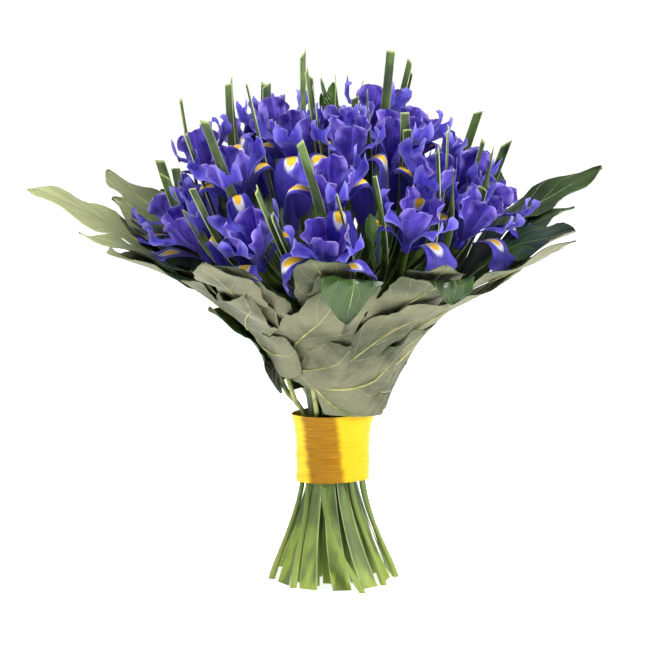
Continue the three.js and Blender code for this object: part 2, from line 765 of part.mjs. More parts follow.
function makeTwine() {
  addBand('twine_tie', [
    [twine.outer, twine.bottom],
    [twine.outer, twine.top],
    [twine.inner, twine.top],
    [twine.inner, twine.bottom],
  ], 'twine');
}

irises.forEach(makeLeafyStem);
irises.forEach(makeBloom);
fatsias.forEach(makeFatsia);
fillers.forEach(makeSprig);
makeRibbon();
makeTwine();

export default bouquet;
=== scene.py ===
# %% [markdown]
# # A hand-tied bouquet of irises
# The bouquet stands on its own spread stems: blue irises with strap leaves, a collar of big lobed
# leaves under them, and a satin ribbon round the waist. The solids are packed already. Here each
# of them is dressed with a finer piece, placed by the same values as its solid, so the frame is
# loaded first.

# %% Load the frame
import math
from collections import namedtuple
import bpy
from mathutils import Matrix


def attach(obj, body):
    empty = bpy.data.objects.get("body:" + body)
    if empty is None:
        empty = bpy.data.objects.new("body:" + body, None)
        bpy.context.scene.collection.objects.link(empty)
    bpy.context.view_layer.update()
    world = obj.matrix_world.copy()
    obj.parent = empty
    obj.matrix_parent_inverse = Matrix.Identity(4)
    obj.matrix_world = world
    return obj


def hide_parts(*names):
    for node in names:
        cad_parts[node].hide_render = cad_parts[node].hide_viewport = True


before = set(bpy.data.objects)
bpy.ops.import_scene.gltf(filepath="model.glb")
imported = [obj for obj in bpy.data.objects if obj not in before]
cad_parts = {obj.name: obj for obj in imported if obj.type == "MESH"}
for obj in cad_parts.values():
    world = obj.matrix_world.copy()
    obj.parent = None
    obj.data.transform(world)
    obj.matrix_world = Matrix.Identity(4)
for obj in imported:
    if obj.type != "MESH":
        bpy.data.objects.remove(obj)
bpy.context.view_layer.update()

from types import SimpleNamespace

import bmesh
import bpy
import numpy as np
from mathutils import Vector

METRE = 0.001

# %% [markdown]
# ## The camera
# The photograph is taken from the front and a little above, against white. A wide lens close by
# would swell the nearest blooms, so a long lens stands far away and keeps the proportions.

# %% Camera
CAMERA_PLACE = (-0.010, -3.000, 0.8135)
CAMERA_TARGET = (-0.010, 0.0, 0.2455)
LENS_MM, SENSOR_MM = 180.8, 36

camera = bpy.data.objects.new("camera", bpy.data.cameras.new("camera"))
camera.data.lens = LENS_MM
camera.data.sensor_width = SENSOR_MM
camera.location = CAMERA_PLACE
view_line = Vector(CAMERA_TARGET) - Vector(CAMERA_PLACE)
camera.rotation_euler = view_line.to_track_quat("-Z", "Y").to_euler()
bpy.context.scene.collection.objects.link(camera)
bpy.context.scene.camera = camera
bpy.context.scene.view_settings.view_transform = "Standard"
print("camera looks down", round(math.degrees(math.atan2(-view_line.z, view_line.y)), 1), "degrees")

# %% [markdown]
# ## The light
# A studio lights flowers with soft boxes. One lamp alone would leave the far petals black, so a
# strong lamp stands at the right, a weaker one at the left, and one hangs above. The sky fills the
# shade. It is brighter at its rim than overhead, so that the sides of the collar are lit and the
# petals keep deep shade between them.

# %% Lamps
LAMPS = [
    # name, place, aim, size in metres, power in watts, colour
    ("right", (1.7, -0.9, 0.9), (0, 0, 0.28), 0.5, 32, (1.0, 0.985, 0.96)),
    ("left", (-1.7, -1.0, 0.8), (0, 0, 0.28), 0.6, 18, (0.98, 0.99, 1.0)),
    ("above", (0.1, -0.4, 2.1), (0, 0, 0.3), 0.5, 28, (1.0, 1.0, 1.0)),
]

for name, stand, aim, size, power, colour in LAMPS:
    light = bpy.data.lights.new(name, "AREA")
    light.size = size
    light.energy = power
    light.color = colour
    lamp = bpy.data.objects.new(name, light)
    lamp.location = stand
    lamp.rotation_euler = (Vector(aim) - Vector(stand)).to_track_quat("-Z", "Y").to_euler()
    bpy.context.scene.collection.objects.link(lamp)
print("lamps:", [row[0] for row in LAMPS])

# %% Sky
SKY_FADE = {"From Min": 0.12, "From Max": 0.5, "To Min": 0.4, "To Max": 0.25}

sky = bpy.data.worlds.new("sky")
sky.use_nodes = True
sky_nodes, sky_links = sky.node_tree.nodes, sky.node_tree.links
direction = sky_nodes.new("ShaderNodeTexCoord")
split_sky = sky_nodes.new("ShaderNodeSeparateXYZ")
sky_fade = sky_nodes.new("ShaderNodeMapRange")
for socket, value in SKY_FADE.items():
    sky_fade.inputs[socket].default_value = value
sky_links.new(direction.outputs["Generated"], split_sky.inputs["Vector"])
sky_links.new(split_sky.outputs["Z"], sky_fade.inputs["Value"])
sky_links.new(sky_fade.outputs["Result"], sky_nodes["Background"].inputs["Strength"])
sky_nodes["Background"].inputs["Color"].default_value = (1, 1, 1, 1)
bpy.context.scene.world = sky
print("sky:", SKY_FADE["To Min"], "at its rim and", SKY_FADE["To Max"], "overhead")

# %% [markdown]
# ## The bundle's levels
# In a hand-tied bouquet all the stems cross at the tie and spread above and below it. Each stem
# could have a curve of its own, but twenty-four free curves are hard to keep apart. So every stem
# keeps its seat in the section at the tie, and each other level is that section made wider and
# turned a little. The values are the solids', in millimetres. The functions take many points.

# %% Levels of the bundle
TIE_LEVEL, TIE_STIFFNESS, FOOT_FLARE = 100, 12, 0.0126
NECK_TOP, NECK_FLARE, NECK_CURVE = 300, 4.57, 3.6
HEAD_FLARE, HEAD_SETTLE = 0.016, 22
FOOT_TURN, HEAD_TURN = -0.17, -0.1

def spread(z):
    """How much wider the bundle is at a level than at the tie."""
    z = np.asarray(z, float)
    foot = 1 + FOOT_FLARE * (np.hypot(TIE_LEVEL - z, TIE_STIFFNESS) - TIE_STIFFNESS)
    neck_length = NECK_TOP - TIE_LEVEL
    neck = 1 + NECK_FLARE * (np.clip(z - TIE_LEVEL, 0, None) / neck_length) ** NECK_CURVE
    above = np.clip(z - NECK_TOP, 0, None)
    bend = NECK_FLARE * NECK_CURVE / neck_length - HEAD_FLARE
    head = 1 + NECK_FLARE + HEAD_FLARE * above
    head = head + bend * HEAD_SETTLE * (1 - np.exp(-above / HEAD_SETTLE))
    return np.where(z < TIE_LEVEL, foot, np.where(z < NECK_TOP, neck, head))

def turned(z):
    """How far the bundle is turned at a level, in radians."""
    z = np.asarray(z, float)
    return np.radians(np.where(z < TIE_LEVEL, FOOT_TURN, HEAD_TURN) * (z - TIE_LEVEL))

print("the bundle is", round(float(spread(320)), 2), "times as wide at the blooms as at the tie")

# %% Places in the bundle
def rotated(flat, angle):
    x, y = flat[..., 0], flat[..., 1]
    cos, sin = np.cos(angle), np.sin(angle)
    return np.stack([x * cos - y * sin, x * sin + y * cos], -1)

def polar(reach, azimuth):
    angle = np.radians(azimuth)
    return np.stack([reach * np.cos(angle), reach * np.sin(angle)], -1)

def place(seat, z):
    """The point at a level that belongs to a seat in the section at the tie."""
    z = np.asarray(z, float)
    seat = np.broadcast_to(np.asarray(seat, float), z.shape + (2,))
    flat = rotated(seat, turned(z)) * spread(z)[..., None]
    return np.concatenate([flat, z[..., None]], -1)

def seat_of(points):
    """The seat that points belong to: the way back from place."""
    flat = points[..., :2] / spread(points[..., 2])[..., None]
    return rotated(flat, -turned(points[..., 2]))

def seat_under(reach, azimuth, z):
    return seat_of(np.append(polar(reach, azimuth), z))

outer_seat = np.linalg.norm(seat_under(129, 0, 322))
print("a bloom 129 mm out has its stem", round(float(outer_seat), 1), "mm out at the tie")

# %% Easing and seeded draws
def smooth(x, low, high):
    """An eased step from 0 at low to 1 at high."""
    part = np.clip((np.asarray(x, float) - low) / (high - low), 0, 1)
    return part * part * (3 - 2 * part)

def draw(number):
    """A draw between 0 and 1 that is the same in every run."""
    wave = math.sin(number * 127.1 + 11.7) * 43758.5453
    return wave - math.floor(wave)

print("the first draws:", [round(draw(number), 2) for number in range(3)])

# %% [markdown]
# ## The collar surface
# The big leaves lie on one flared surface under the blooms, like shingles. Each leaf could be
# placed by hand, but then it would need mending wherever it met the next one. One surface rises
# steeply from the ribbon and leans out, each leaf keeps its own layer on it, and a place on it is
# found by its length from the ribbon.

# %% Collar
COLLAR_REACH, COLLAR_FOOT = 39, 165
COLLAR_RISE, COLLAR_BEND, COLLAR_SLOPE, COLLAR_CONE = 80, 28, 0.45, 45
COLLAR_WAVE, WAVES_ROUND, WAVE_DRIFT = 5, 5, 0.9
WAVE_STARTS, WAVE_IS_FULL, LIFT_STARTS, LIFT_IS_FULL = 70, 150, 110, 190
COLLAR_STEPS = 400
COLLAR_LIFT = [
    [0, 30], [20, 44], [70, 26], [110, 24], [140, 24], [160, 34], [180, 20], [198, 4], [225, 8],
    [270, 14], [315, 2], [335, -4], [360, 30],
]

def along(pairs, at):
    """A value read from a list of [level, value] pairs."""
    return np.interp(at, *np.transpose(pairs))

def collar_height(reach, azimuth):
    out = np.clip(reach - COLLAR_REACH, 0, None)
    rise = COLLAR_RISE * (1 - np.exp(-out / COLLAR_BEND)) + COLLAR_SLOPE * out
    lift = along(COLLAR_LIFT, np.mod(azimuth, 360)) * smooth(reach, LIFT_STARTS, LIFT_IS_FULL)
    wave = COLLAR_WAVE * np.sin(np.radians(azimuth * WAVES_ROUND + reach * WAVE_DRIFT))
    return COLLAR_FOOT + rise + lift + wave * smooth(reach, WAVE_STARTS, WAVE_IS_FULL)

def collar_steepness(reach):
    return COLLAR_RISE / COLLAR_BEND * np.exp(-(reach - COLLAR_REACH) / COLLAR_BEND) + COLLAR_SLOPE

collar_reaches = COLLAR_REACH + np.arange(float(COLLAR_STEPS))
collar_strides = np.hypot(1, collar_steepness(collar_reaches[:-1] + 0.5))
collar_lengths = np.concatenate([[0], np.cumsum(collar_strides)])

def collar_point(length, azimuth, depth):
    """A point on the collar, at a depth outside its surface."""
    reach = np.interp(length, collar_lengths, collar_reaches)
    steepness = collar_steepness(reach)
    across = 1 / np.hypot(steepness, 1)
    flat = polar(reach + steepness * across * depth, azimuth)
    height = collar_height(reach, azimuth) - across * depth
    return np.concatenate([flat, height[..., None]], -1)

print("the collar is", round(float(collar_height(160.0, 270.0))), "mm high in front, 160 mm out")

# %% [markdown]
# ## Seats and shares
# Twenty-four irises stand in four rings. Petals pushed together at random would cut through each
# other, and pushing them apart by simulation would take long. So each iris owns the part of the
# section that is nearest to it, and a wall stands midway to each neighbour.

# %% Irises and sprigs
RINGS = [
    # name, reach, height, tilt, azimuths, turns of the bloom
    ("center", 3, 402, 3, [120], [20]),
    ("inner", 59, 396, 12, [236, 282, 330, 50, 150], [30, 55, -20, 10, 70]),
    ("middle", 109, 368, 26, [170, 222, 270, 316, 8, 52, 96, 134], [40, 50, 10, 60, -15, 30, 0, 45]),
    ("outer", 129, 322, 32, [176, 208, 240, 268, 300, 332, 2, 42, 86, 131],
     [10, -20, 8, 50, 15, 0, -25, 20, -15, 45]),
]
HEIGHT_SPREAD = 24
SPRIGS = [("front", 284, 142, 352), ("top", 94, 45, 448)]
SPRIG_SHARE = -8.5

irises = []
for ring, reach, height, tilt, azimuths, turns in RINGS:
    for i, azimuth in enumerate(azimuths):
        name = f"{ring}_{i + 1}" if len(azimuths) > 1 else ring
        number = len(name) * 7 + i * 13 + reach
        top = height + HEIGHT_SPREAD * (draw(number) - 0.5)
        irises.append(SimpleNamespace(
            name=name, ring=ring, number=number, height=top, tilt=tilt, azimuth=azimuth,
            turn=turns[i], share=0, seat=seat_under(reach, azimuth, top),
        ))
irises[0].seat = np.zeros(2)
sprigs = [
    SimpleNamespace(name=name, azimuth=azimuth, height=height, share=SPRIG_SHARE,
                    seat=seat_under(reach, azimuth, height))
    for name, azimuth, reach, height in SPRIGS
]
print("seats:", len(irises), "irises and", len(sprigs), "sprigs")

# %% Walls between neighbours
Wall = namedtuple("Wall", "distance normal by_iris")

seated = irises + sprigs
for one in seated:
    one.walls = []
    for other in seated:
        if other is not one:
            toward = other.seat - one.seat
            gap = np.linalg.norm(toward)
            distance = (gap * gap + one.share - other.share) / (2 * gap)
            one.walls.append(Wall(distance, toward / gap, other.share == 0))
    one.walls.sort(key=lambda wall: wall.distance)
    one.screens = []
print("nearest wall:", round(min(one.walls[0].distance for one in seated), 2), "mm from a seat")

# %% [markdown]
# ## Berths
# A strap leaf needs a place to stand that no petal crosses. It could stand anywhere and the petals
# be cut round it, but a real leaf slips between two flowers. So it stands along a wall of its
# iris's share. In the outer ring, where there may be no wall, a screen is set up in its place.

# %% Berths for strap leaves
WALL_EDGE, FARTHEST_BERTH, BERTH_SWING = 0.5, 4.4, 1.6
FACING, PASSING = 0.8, 0.05

def bounding(owner, wall):
    """Whether a wall bounds the share itself and doesn't lie behind another wall."""
    foot = wall.normal * wall.distance
    return all(other is wall or other.normal @ foot < other.distance - WALL_EDGE
               for other in owner.walls)

def berth_at(wall):
    return math.atan2(wall.normal[1], wall.normal[0]), wall.distance

def berth_toward(owner, aim):
    toward = np.array([math.cos(aim), math.sin(aim)])
    for wall in owner.walls:
        if bounding(owner, wall) and wall.normal @ toward > FACING:
            return berth_at(wall)
    distance = FARTHEST_BERTH
    for wall in owner.walls:
        slope = wall.normal @ toward
        if slope > PASSING:
            distance = min(distance, wall.distance / slope)
    owner.screens.append(Wall(distance, toward, True))
    return aim, distance

for iris in irises:
    outward = math.atan2(iris.seat[1], iris.seat[0])
    if iris.ring == "outer":
        iris.berths = [berth_toward(iris, outward + side * BERTH_SWING) for side in (1, -1)]
    else:
        iris.berths = [berth_at(wall) for wall in iris.walls if wall.by_iris and bounding(iris, wall)]
print("berths:", sum(len(iris.berths) for iris in irises))

# %% [markdown]
# ## The soft limit
# In a tight bunch petals give way to their neighbours and rest on the leaves below. Cutting them
# off at the walls would leave hard edges. Instead a softened limit draws points in as they near
# the walls, and lifts them off the collar. A negative clearance lets neighbours press together.

# %% Keeping petals in their share
PETAL_CLEARANCE, FALLS_ABOVE_COLLAR, PRESSED_OUT = -7, 4, 0.3
WALL_SHARPNESS, EASE, SOFT_FROM = 6, 10, 0.7
LEAST_ROOM, NEXT_TO_NOTHING = 0.1, 1e-9

def lifted_off_collar(owner, points):
    azimuth = np.degrees(np.arctan2(points[:, 1], points[:, 0]))
    low = collar_height(np.hypot(points[:, 0], points[:, 1]), azimuth) + FALLS_ABOVE_COLLAR
    eased = low + EASE * np.exp(np.minimum(points[:, 2] - low - EASE, 0) / EASE)
    lifted = np.where(points[:, 2] < low + EASE, eased, points[:, 2])
    away = points[:, :2] - place(owner.seat, owner.height)[:2]
    away = away / np.maximum(np.linalg.norm(away, axis=1), 1e-6)[:, None]
    shift = PRESSED_OUT * (lifted - points[:, 2])[:, None]
    return np.concatenate([points[:, :2] + away * shift, lifted[:, None]], 1)

def keep_in(owner, points):
    result = lifted_off_collar(owner, points)
    offset = seat_of(result) - owner.seat
    length = np.maximum(np.linalg.norm(offset, axis=1), NEXT_TO_NOTHING)
    toward = offset / length[:, None]
    margin = PETAL_CLEARANCE / spread(result[:, 2])
    pressure = np.zeros(len(points))
    for distance, normal, _ in owner.walls + owner.screens:
        facing = np.clip(toward @ normal, 0, None)
        pressure += (facing / np.maximum(distance - margin, LEAST_ROOM)) ** WALL_SHARPNESS
    fill = length * pressure ** (1 / WALL_SHARPNESS)
    give = 1 - SOFT_FROM
    kept = np.where(fill < SOFT_FROM, fill, SOFT_FROM + give * np.tanh((fill - SOFT_FROM) / give))
    part = np.where(fill > NEXT_TO_NOTHING, kept / np.maximum(fill, NEXT_TO_NOTHING), 1)
    return place(owner.seat + toward * (length * part)[:, None], result[:, 2])

print("petals may press up to", -PETAL_CLEARANCE, "mm past the walls of their share")

# %% [markdown]
# ## Finishes
# Colour on a flower lies in layers: a ground, veins, a paler edge, a mark. A painted picture would
# show this too, but it can't be made sharper, and it needs a file. So each finish is a small node
# tree that glazes one paint over another. Veins and ribs follow the piece's own UV map, where u
# runs across and v from the root to the tip. Broad changes of tone read Object coordinates, so
# that neighbours differ. The ribbon's painted highlights and the paler tone of the far-left
# leaves read Object X as well, so they are fixed by place. Some glazes are painted light: shade at
# the petals' roots, and highlights on their rims and on the ribbon.

# %% Paint
def paint(red, green, blue):
    """A screen colour, 0 to 255, as the linear colour that a shader takes."""
    parts = [value / 255 for value in (red, green, blue)]
    linear = [((part + 0.055) / 1.055) ** 2.4 if part > 0.04 else part / 12.92 for part in parts]
    return (*linear, 1)

print("a mid grey of 128 is", round(paint(128, 128, 128)[0], 3), "in linear light")

# %% Glazes
class Finish:
    """A material that is built up in glazes over a ground colour."""

    def __init__(self, name, ground, roughness, specular=0.4, follows_surface=True):
        self.material = bpy.data.materials.new(name)
        self.material.use_nodes = True
        self.tree = self.material.node_tree
        self.shader = self.tree.nodes["Principled BSDF"]
        self.colour = ground
        self.adjust(Roughness=roughness, Specular_IOR_Level=specular)
        if follows_surface:
            uv = self.node("UVMap", {"uv_map": "UVMap"}).outputs["UV"]
            split = self.node("SeparateXYZ", Vector=uv)
            self.u, self.v = split.outputs["X"], split.outputs["Y"]
            self.off_middle = self.maths("ABSOLUTE", self.minus(self.u, 0.5))

    def adjust(self, **values):
        """Sets the shader's own values. An underscore stands for a space in a socket's name."""
        for key, value in values.items():
            self.shader.inputs[key.replace("_", " ")].default_value = value

    def feed(self, socket, value):
        """A socket takes the output of another node or a plain value."""
        if isinstance(value, bpy.types.NodeSocket):
            self.tree.links.new(value, socket)
        else:
            socket.default_value = value

    def node(self, kind, settings=None, **inputs):
        made = self.tree.nodes.new("ShaderNode" + kind)
        for key, value in (settings or {}).items():
            setattr(made, key, value)
        for key, value in inputs.items():
            self.feed(made.inputs[key.replace("_", " ")], value)
        return made

    def maths(self, operation, *values):
        made = self.node("Math", {"operation": operation})
        for socket, value in zip(made.inputs, values):
            self.feed(socket, value)
        return made.outputs[0]

    def plus(self, first, second):
        return self.maths("ADD", first, second)

    def minus(self, first, second):
        return self.maths("SUBTRACT", first, second)

    def times(self, first, second):
        return self.maths("MULTIPLY", first, second)

    def ranged(self, pattern, between, strength=(0.0, 1.0)):
        """The strength that a pattern gives, eased over the stretch between two of its values."""
        made = self.node("MapRange", {"interpolation_type": "SMOOTHSTEP"}, Value=pattern,
                         From_Min=between[0], From_Max=between[1], To_Min=strength[0], To_Max=strength[1])
        return made.outputs["Result"]

    def cover(self, colour, factor):
        made = self.node("Mix", {"data_type": "RGBA"})
        factor_socket, under_socket, over_socket = (made.inputs[i] for i in (0, 6, 7))
        self.feed(factor_socket, factor)
        self.feed(under_socket, self.colour)
        self.feed(over_socket, colour)
        self.colour = made.outputs[2]

    def glaze(self, colour, pattern, between, strength=(0.0, 1.0)):
        self.cover(colour, self.ranged(pattern, between, strength))

    def done(self, height=None, strength=0.0, depth=0.0):
        """Joins up the colour and the relief, and hands over the material."""
        self.tree.links.new(self.colour, self.shader.inputs["Base Color"])
        if height:
            bump = self.node("Bump", Strength=strength, Distance=depth, Height=height)
            self.tree.links.new(bump.outputs["Normal"], self.shader.inputs["Normal"])
        return self.material

print("glazes lie over the ground in the order in which they are called")

# %% Patterns
def object_point(finish):
    return finish.node("TexCoord").outputs["Object"]

def object_axis(finish, axis):
    return finish.node("SeparateXYZ", Vector=object_point(finish)).outputs[axis]

def noise(finish, point, scale, detail):
    return finish.node("TexNoise", Vector=point, Scale=scale, Detail=detail).outputs["Fac"]

def patches(finish, scale, detail=2.0):
    """Soft patches that don't follow the piece."""
    return noise(finish, object_point(finish), scale, detail)

def streaks(finish, across, lengthwise, detail=2.0):
    """Noise drawn out along the piece: fine lines that run from root to tip."""
    stretched = finish.node("CombineXYZ", X=finish.times(finish.u, across),
                            Y=finish.times(finish.v, lengthwise))
    return noise(finish, stretched.outputs["Vector"], 1.0, detail)

print("patterns: patches and streaks")

# %% [markdown]
# ### Petals
# A fall is deep blue, with a yellow signal edged in white where it bends down. A standard is more
# violet, and the frilled style arms are the brightest blue, both with paler rims that carry a
# painted highlight towards the tip, and a painted shade at the root, in the heart of the bloom.
# The signal could be a piece of its own, but on the flower it is only colour, so it is a glaze.
# Petals let a little light through, so they have some subsurface, and their fine crinkles are relief.

# %% Petal finishes
FALL_BLUE, FALL_DARK = paint(44, 26, 174), paint(18, 8, 96)
# the pale colours are the rims' own paler tone and a painted highlight towards the tip; the dark ones serve
# veins, patches and a painted shade at the root
STANDARD_VIOLET, STANDARD_DARK_AND_SHADE, STANDARD_PALE_AND_HIGHLIGHT = paint(98, 70, 204), paint(42, 24, 136), paint(166, 146, 234)
STYLE_BLUE, STYLE_DARK_AND_SHADE, STYLE_PALE_AND_HIGHLIGHT = paint(82, 68, 210), paint(40, 26, 146), paint(146, 138, 240)
SIGNAL_YELLOW, SIGNAL_WHITE = paint(255, 196, 8), paint(226, 226, 242)
SIGNAL_HALF, SIGNAL_AT, SIGNAL_LENGTH, SIGNAL_TRAIL = 0.21, 0.4, 0.11, 0.22
PETAL_RELIEF = {"strength": 0.55, "depth": 0.0009}

def start_petal(name, ground, dark, roughness):
    """What all petals share: light that passes in, fine veins, and crinkles as relief."""
    petal = Finish(name, ground, roughness)
    petal.adjust(Subsurface_Weight=0.25, Subsurface_Radius=(0.5, 0.3, 1.0), Subsurface_Scale=0.003,
                 Sheen_Weight=0.25, Sheen_Roughness=0.5)
    veins = streaks(petal, 46, 2.2, 3)
    petal.glaze(dark, veins, (0.42, 0.6), (0, 0.75))
    petal.crinkles = petal.plus(veins, petal.times(patches(petal, 330, 3), 0.9))
    return petal

def make_fall_finish():
    fall = start_petal("petal_fall", FALL_BLUE, FALL_DARK, 0.55)
    fall.glaze(STANDARD_VIOLET, patches(fall, 45), (0.4, 0.75), (0, 0.4))
    fall.glaze(FALL_DARK, fall.v, (0.6, 1.0), (0, 0.45))
    far_across = fall.maths("DIVIDE", fall.off_middle, SIGNAL_HALF)
    far_along = fall.maths("DIVIDE", fall.minus(fall.v, SIGNAL_AT), SIGNAL_LENGTH)
    squares = [fall.times(far, far) for far in (far_across, far_along)]
    ragged = fall.times(streaks(fall, 40, 3), 0.5)
    far = fall.plus(fall.maths("SQRT", fall.plus(*squares)), ragged)
    trailing = fall.minus(far, fall.times(far_along, SIGNAL_TRAIL))
    fall.glaze(SIGNAL_WHITE, trailing, (1.15, 1.6), (1, 0))
    fall.glaze(SIGNAL_YELLOW, far, (1.05, 1.2), (1, 0))
    return fall.done(fall.crinkles, **PETAL_RELIEF)

def make_upright_finish(name, ground, dark, pale):
    upright = start_petal(name, ground, dark, 0.5)
    # paler rims: partly the petal's own paler edge, partly a painted highlight that grows towards the tip
    rim = upright.plus(upright.off_middle, upright.times(upright.v, 0.2))
    upright.glaze(pale, rim, (0.42, 0.7), (0, 0.85))
    # painted shade: darker towards the root, in the heart of the bloom where the petals shade each other
    upright.glaze(dark, upright.v, (0.0, 0.45), (0.85, 0))
    upright.glaze(dark, patches(upright, 40), (0.42, 0.7), (0, 0.6))
    return upright.done(upright.crinkles, **PETAL_RELIEF)

fall_finish = make_fall_finish()
standard_finish = make_upright_finish("petal_standard", STANDARD_VIOLET, STANDARD_DARK_AND_SHADE, STANDARD_PALE_AND_HIGHLIGHT)
style_finish = make_upright_finish("petal_style", STYLE_BLUE, STYLE_DARK_AND_SHADE, STYLE_PALE_AND_HIGHLIGHT)
print("petal finishes:", fall_finish.name, standard_finish.name, style_finish.name)

# %% [markdown]
# ### Stems and strap leaves
# Iris leaves have parallel ribs from end to end. They are mid-green above the tie and a fresh
# yellow-green at the cut ends, so that glaze follows the height. Each leaf also has a tone of its
# own. A material for each leaf would do that, but noise drawn out upwards does it with one.

# %% Green finishes
STRAP_GREEN, STRAP_DEEP, STRAP_FRESH = paint(112, 140, 60), paint(38, 60, 24), paint(162, 186, 62)
STRAP_EDGE, CUT_PALE = paint(186, 202, 146), paint(196, 208, 132)
STEM_GREEN, STEM_FRESH = paint(98, 118, 50), paint(148, 166, 78)
FRESH_UNDER, STEM_FRESH_UNDER = 0.11, 0.1
DRAWN_UP = (70, 70, 4)

def make_strap_finish():
    leaf = Finish("strap_leaf", STRAP_GREEN, 0.42, 0.5)
    leaf.glaze(STRAP_DEEP, patches(leaf, 30), (0.35, 0.65))
    leaf.glaze(STRAP_FRESH, object_axis(leaf, "Z"), (0.0, FRESH_UNDER), (1, 0))
    drawn_up = leaf.node("Mapping", Vector=object_point(leaf), Scale=DRAWN_UP).outputs["Vector"]
    leaf.glaze(STRAP_DEEP, noise(leaf, drawn_up, 1.0, 1.0), (0.42, 0.6), (0, 0.6))
    ribs = streaks(leaf, 34, 0.6, 1)
    leaf.glaze(STRAP_DEEP, ribs, (0.42, 0.66), (0, 0.6))
    leaf.glaze(STRAP_EDGE, leaf.off_middle, (0.43, 0.5), (0, 0.85))
    leaf.glaze(CUT_PALE, leaf.v, (0.992, 0.999), (0, 0.8))
    return leaf.done(ribs, 0.5, 0.0008)

def make_stem_finish():
    stem = Finish("stem_green", STEM_GREEN, 0.4, 0.5, follows_surface=False)
    stem.glaze(STRAP_DEEP, patches(stem, 60), (0.35, 0.65))
    stem.glaze(STEM_FRESH, object_axis(stem, "Z"), (0.0, STEM_FRESH_UNDER), (1, 0))
    stem.glaze(CUT_PALE, object_axis(stem, "Z"), (0.0002, 0.0008), (1, 0))
    return stem.done(patches(stem, 400), 0.2, 0.0004)

strap_finish = make_strap_finish()
stem_finish = make_stem_finish()
print("green finishes:", strap_finish.name, stem_finish.name)

# %% [markdown]
# ### Collar leaves
# The upper side is dark and glossy, the underside a matte grey-green, and the leaves at the far
# left are paler. Pale veins leave the midrib at a slant on both sides of the leaf, and the blade
# swells between them. Veins modelled as ridges would need very many faces, so only the ribs are
# modelled, and one pattern on the lobe's UV map draws the rest.

# %% Collar leaf finishes
LEAF_TOP, LEAF_TOP_LIGHT, LEAF_TOP_VEIN = paint(22, 44, 12), paint(54, 84, 26), paint(120, 144, 70)
LEAF_UNDER, LEAF_UNDER_DARK, LEAF_UNDER_VEIN = paint(122, 123, 95), paint(62, 69, 45), paint(174, 170, 122)
SPRIG_GREEN, SPRIG_LIGHT, SPRIG_VEIN = paint(64, 104, 30), paint(112, 152, 56), paint(160, 188, 100)
LEAF_PALE, RIB_PALE = paint(196, 202, 144), paint(176, 172, 112)
PALE_SIDE = (-0.25, -0.15)
VEINS_A_LOBE, VEIN_SLANT = 7, 3.4

def leaf_veins(leaf):
    """The midrib and side veins as lines, and the way from one side vein to the next."""
    slant = leaf.minus(leaf.times(leaf.v, VEINS_A_LOBE), leaf.times(leaf.off_middle, VEIN_SLANT))
    wobble = leaf.times(patches(leaf, 40), 0.5)
    between = leaf.maths("PINGPONG", leaf.plus(slant, wobble), 0.5)
    side_veins = leaf.ranged(between, (0.0, 0.05), (0.7, 0))
    midrib = leaf.ranged(leaf.off_middle, (0.006, 0.022), (1, 0))
    return leaf.maths("MAXIMUM", side_veins, midrib), between

def make_leaf_finish(name, ground, light, vein, roughness, coat, pale=None):
    leaf = Finish(name, ground, roughness, 0.5)
    leaf.adjust(Coat_Weight=coat, Coat_Roughness=0.25)
    leaf.glaze(light, patches(leaf, 14, 3), (0.35, 0.68))
    leaf.glaze(ground, patches(leaf, 160), (0.4, 0.7), (0, 0.25))
    if pale:
        leaf.glaze(pale, object_axis(leaf, "X"), PALE_SIDE, (0.92, 0))
    lines, between = leaf_veins(leaf)
    leaf.cover(vein, leaf.times(lines, 0.6))
    quilted = leaf.plus(lines, leaf.times(between, 1.6))
    uneven = leaf.times(patches(leaf, 60), 1.4)
    return leaf.done(leaf.plus(quilted, uneven), 0.6, 0.0018)

def make_rib_finish():
    rib = Finish("leaf_rib", RIB_PALE, 0.5, follows_surface=False)
    rib.glaze(STEM_GREEN, patches(rib, 80), (0.4, 0.7))
    rib.glaze(STEM_GREEN, object_axis(rib, "Z"), (0.14, 0.19), (1, 0))
    rib.glaze(STEM_FRESH, object_axis(rib, "Z"), (0.0, STEM_FRESH_UNDER), (1, 0))
    return rib.done(patches(rib, 300), 0.25, 0.0004)

leaf_top_finish = make_leaf_finish(
    "leaf_top", LEAF_TOP, LEAF_TOP_LIGHT, LEAF_TOP_VEIN, 0.38, 0.15, LEAF_PALE)
leaf_under_finish = make_leaf_finish("leaf_under", LEAF_UNDER, LEAF_UNDER_DARK, LEAF_UNDER_VEIN, 0.65, 0.0)
sprig_finish = make_leaf_finish("sprig_leaf", SPRIG_GREEN, SPRIG_LIGHT, SPRIG_VEIN, 0.45, 0.1)
rib_finish = make_rib_finish()
print("leaf finishes:", leaf_top_finish.name, leaf_under_finish.name, sprig_finish.name, rib_finish.name)

# %% [markdown]
# ### Satin and twine
# Satin shines in broad bands with soft edges, and shows fine lines along the weave. Its shine is
# stretched across the threads, so the shader is anisotropic. The lamps alone don't give the bands
# that such a ribbon has in a bright room, so they are painted highlights, glazed on by their place:
# bright at the left and the right, and deep gold between. They stay where they are when the light
# changes. Twine is rough, and its strands are a wave pattern.

# %% Ribbon and twine finishes
RIBBON_GOLD, RIBBON_DEEP = paint(172, 122, 2), paint(134, 90, 0)
# painted highlights on the satin: their colours, and where their bands lie across the ribbon in X
RIBBON_LEFT_HIGHLIGHT, RIBBON_RIGHT_HIGHLIGHT = paint(250, 214, 44), paint(234, 192, 20)
LEFT_HIGHLIGHT_BAND, RIGHT_HIGHLIGHT_BAND = (-0.011, -0.004), (0.022, 0.029)
HIGHLIGHT_LEAN, HIGHLIGHT_RAGGED = 0.12, 0.006
TWINE_TAN, TWINE_DARK = paint(184, 150, 100), paint(120, 92, 56)

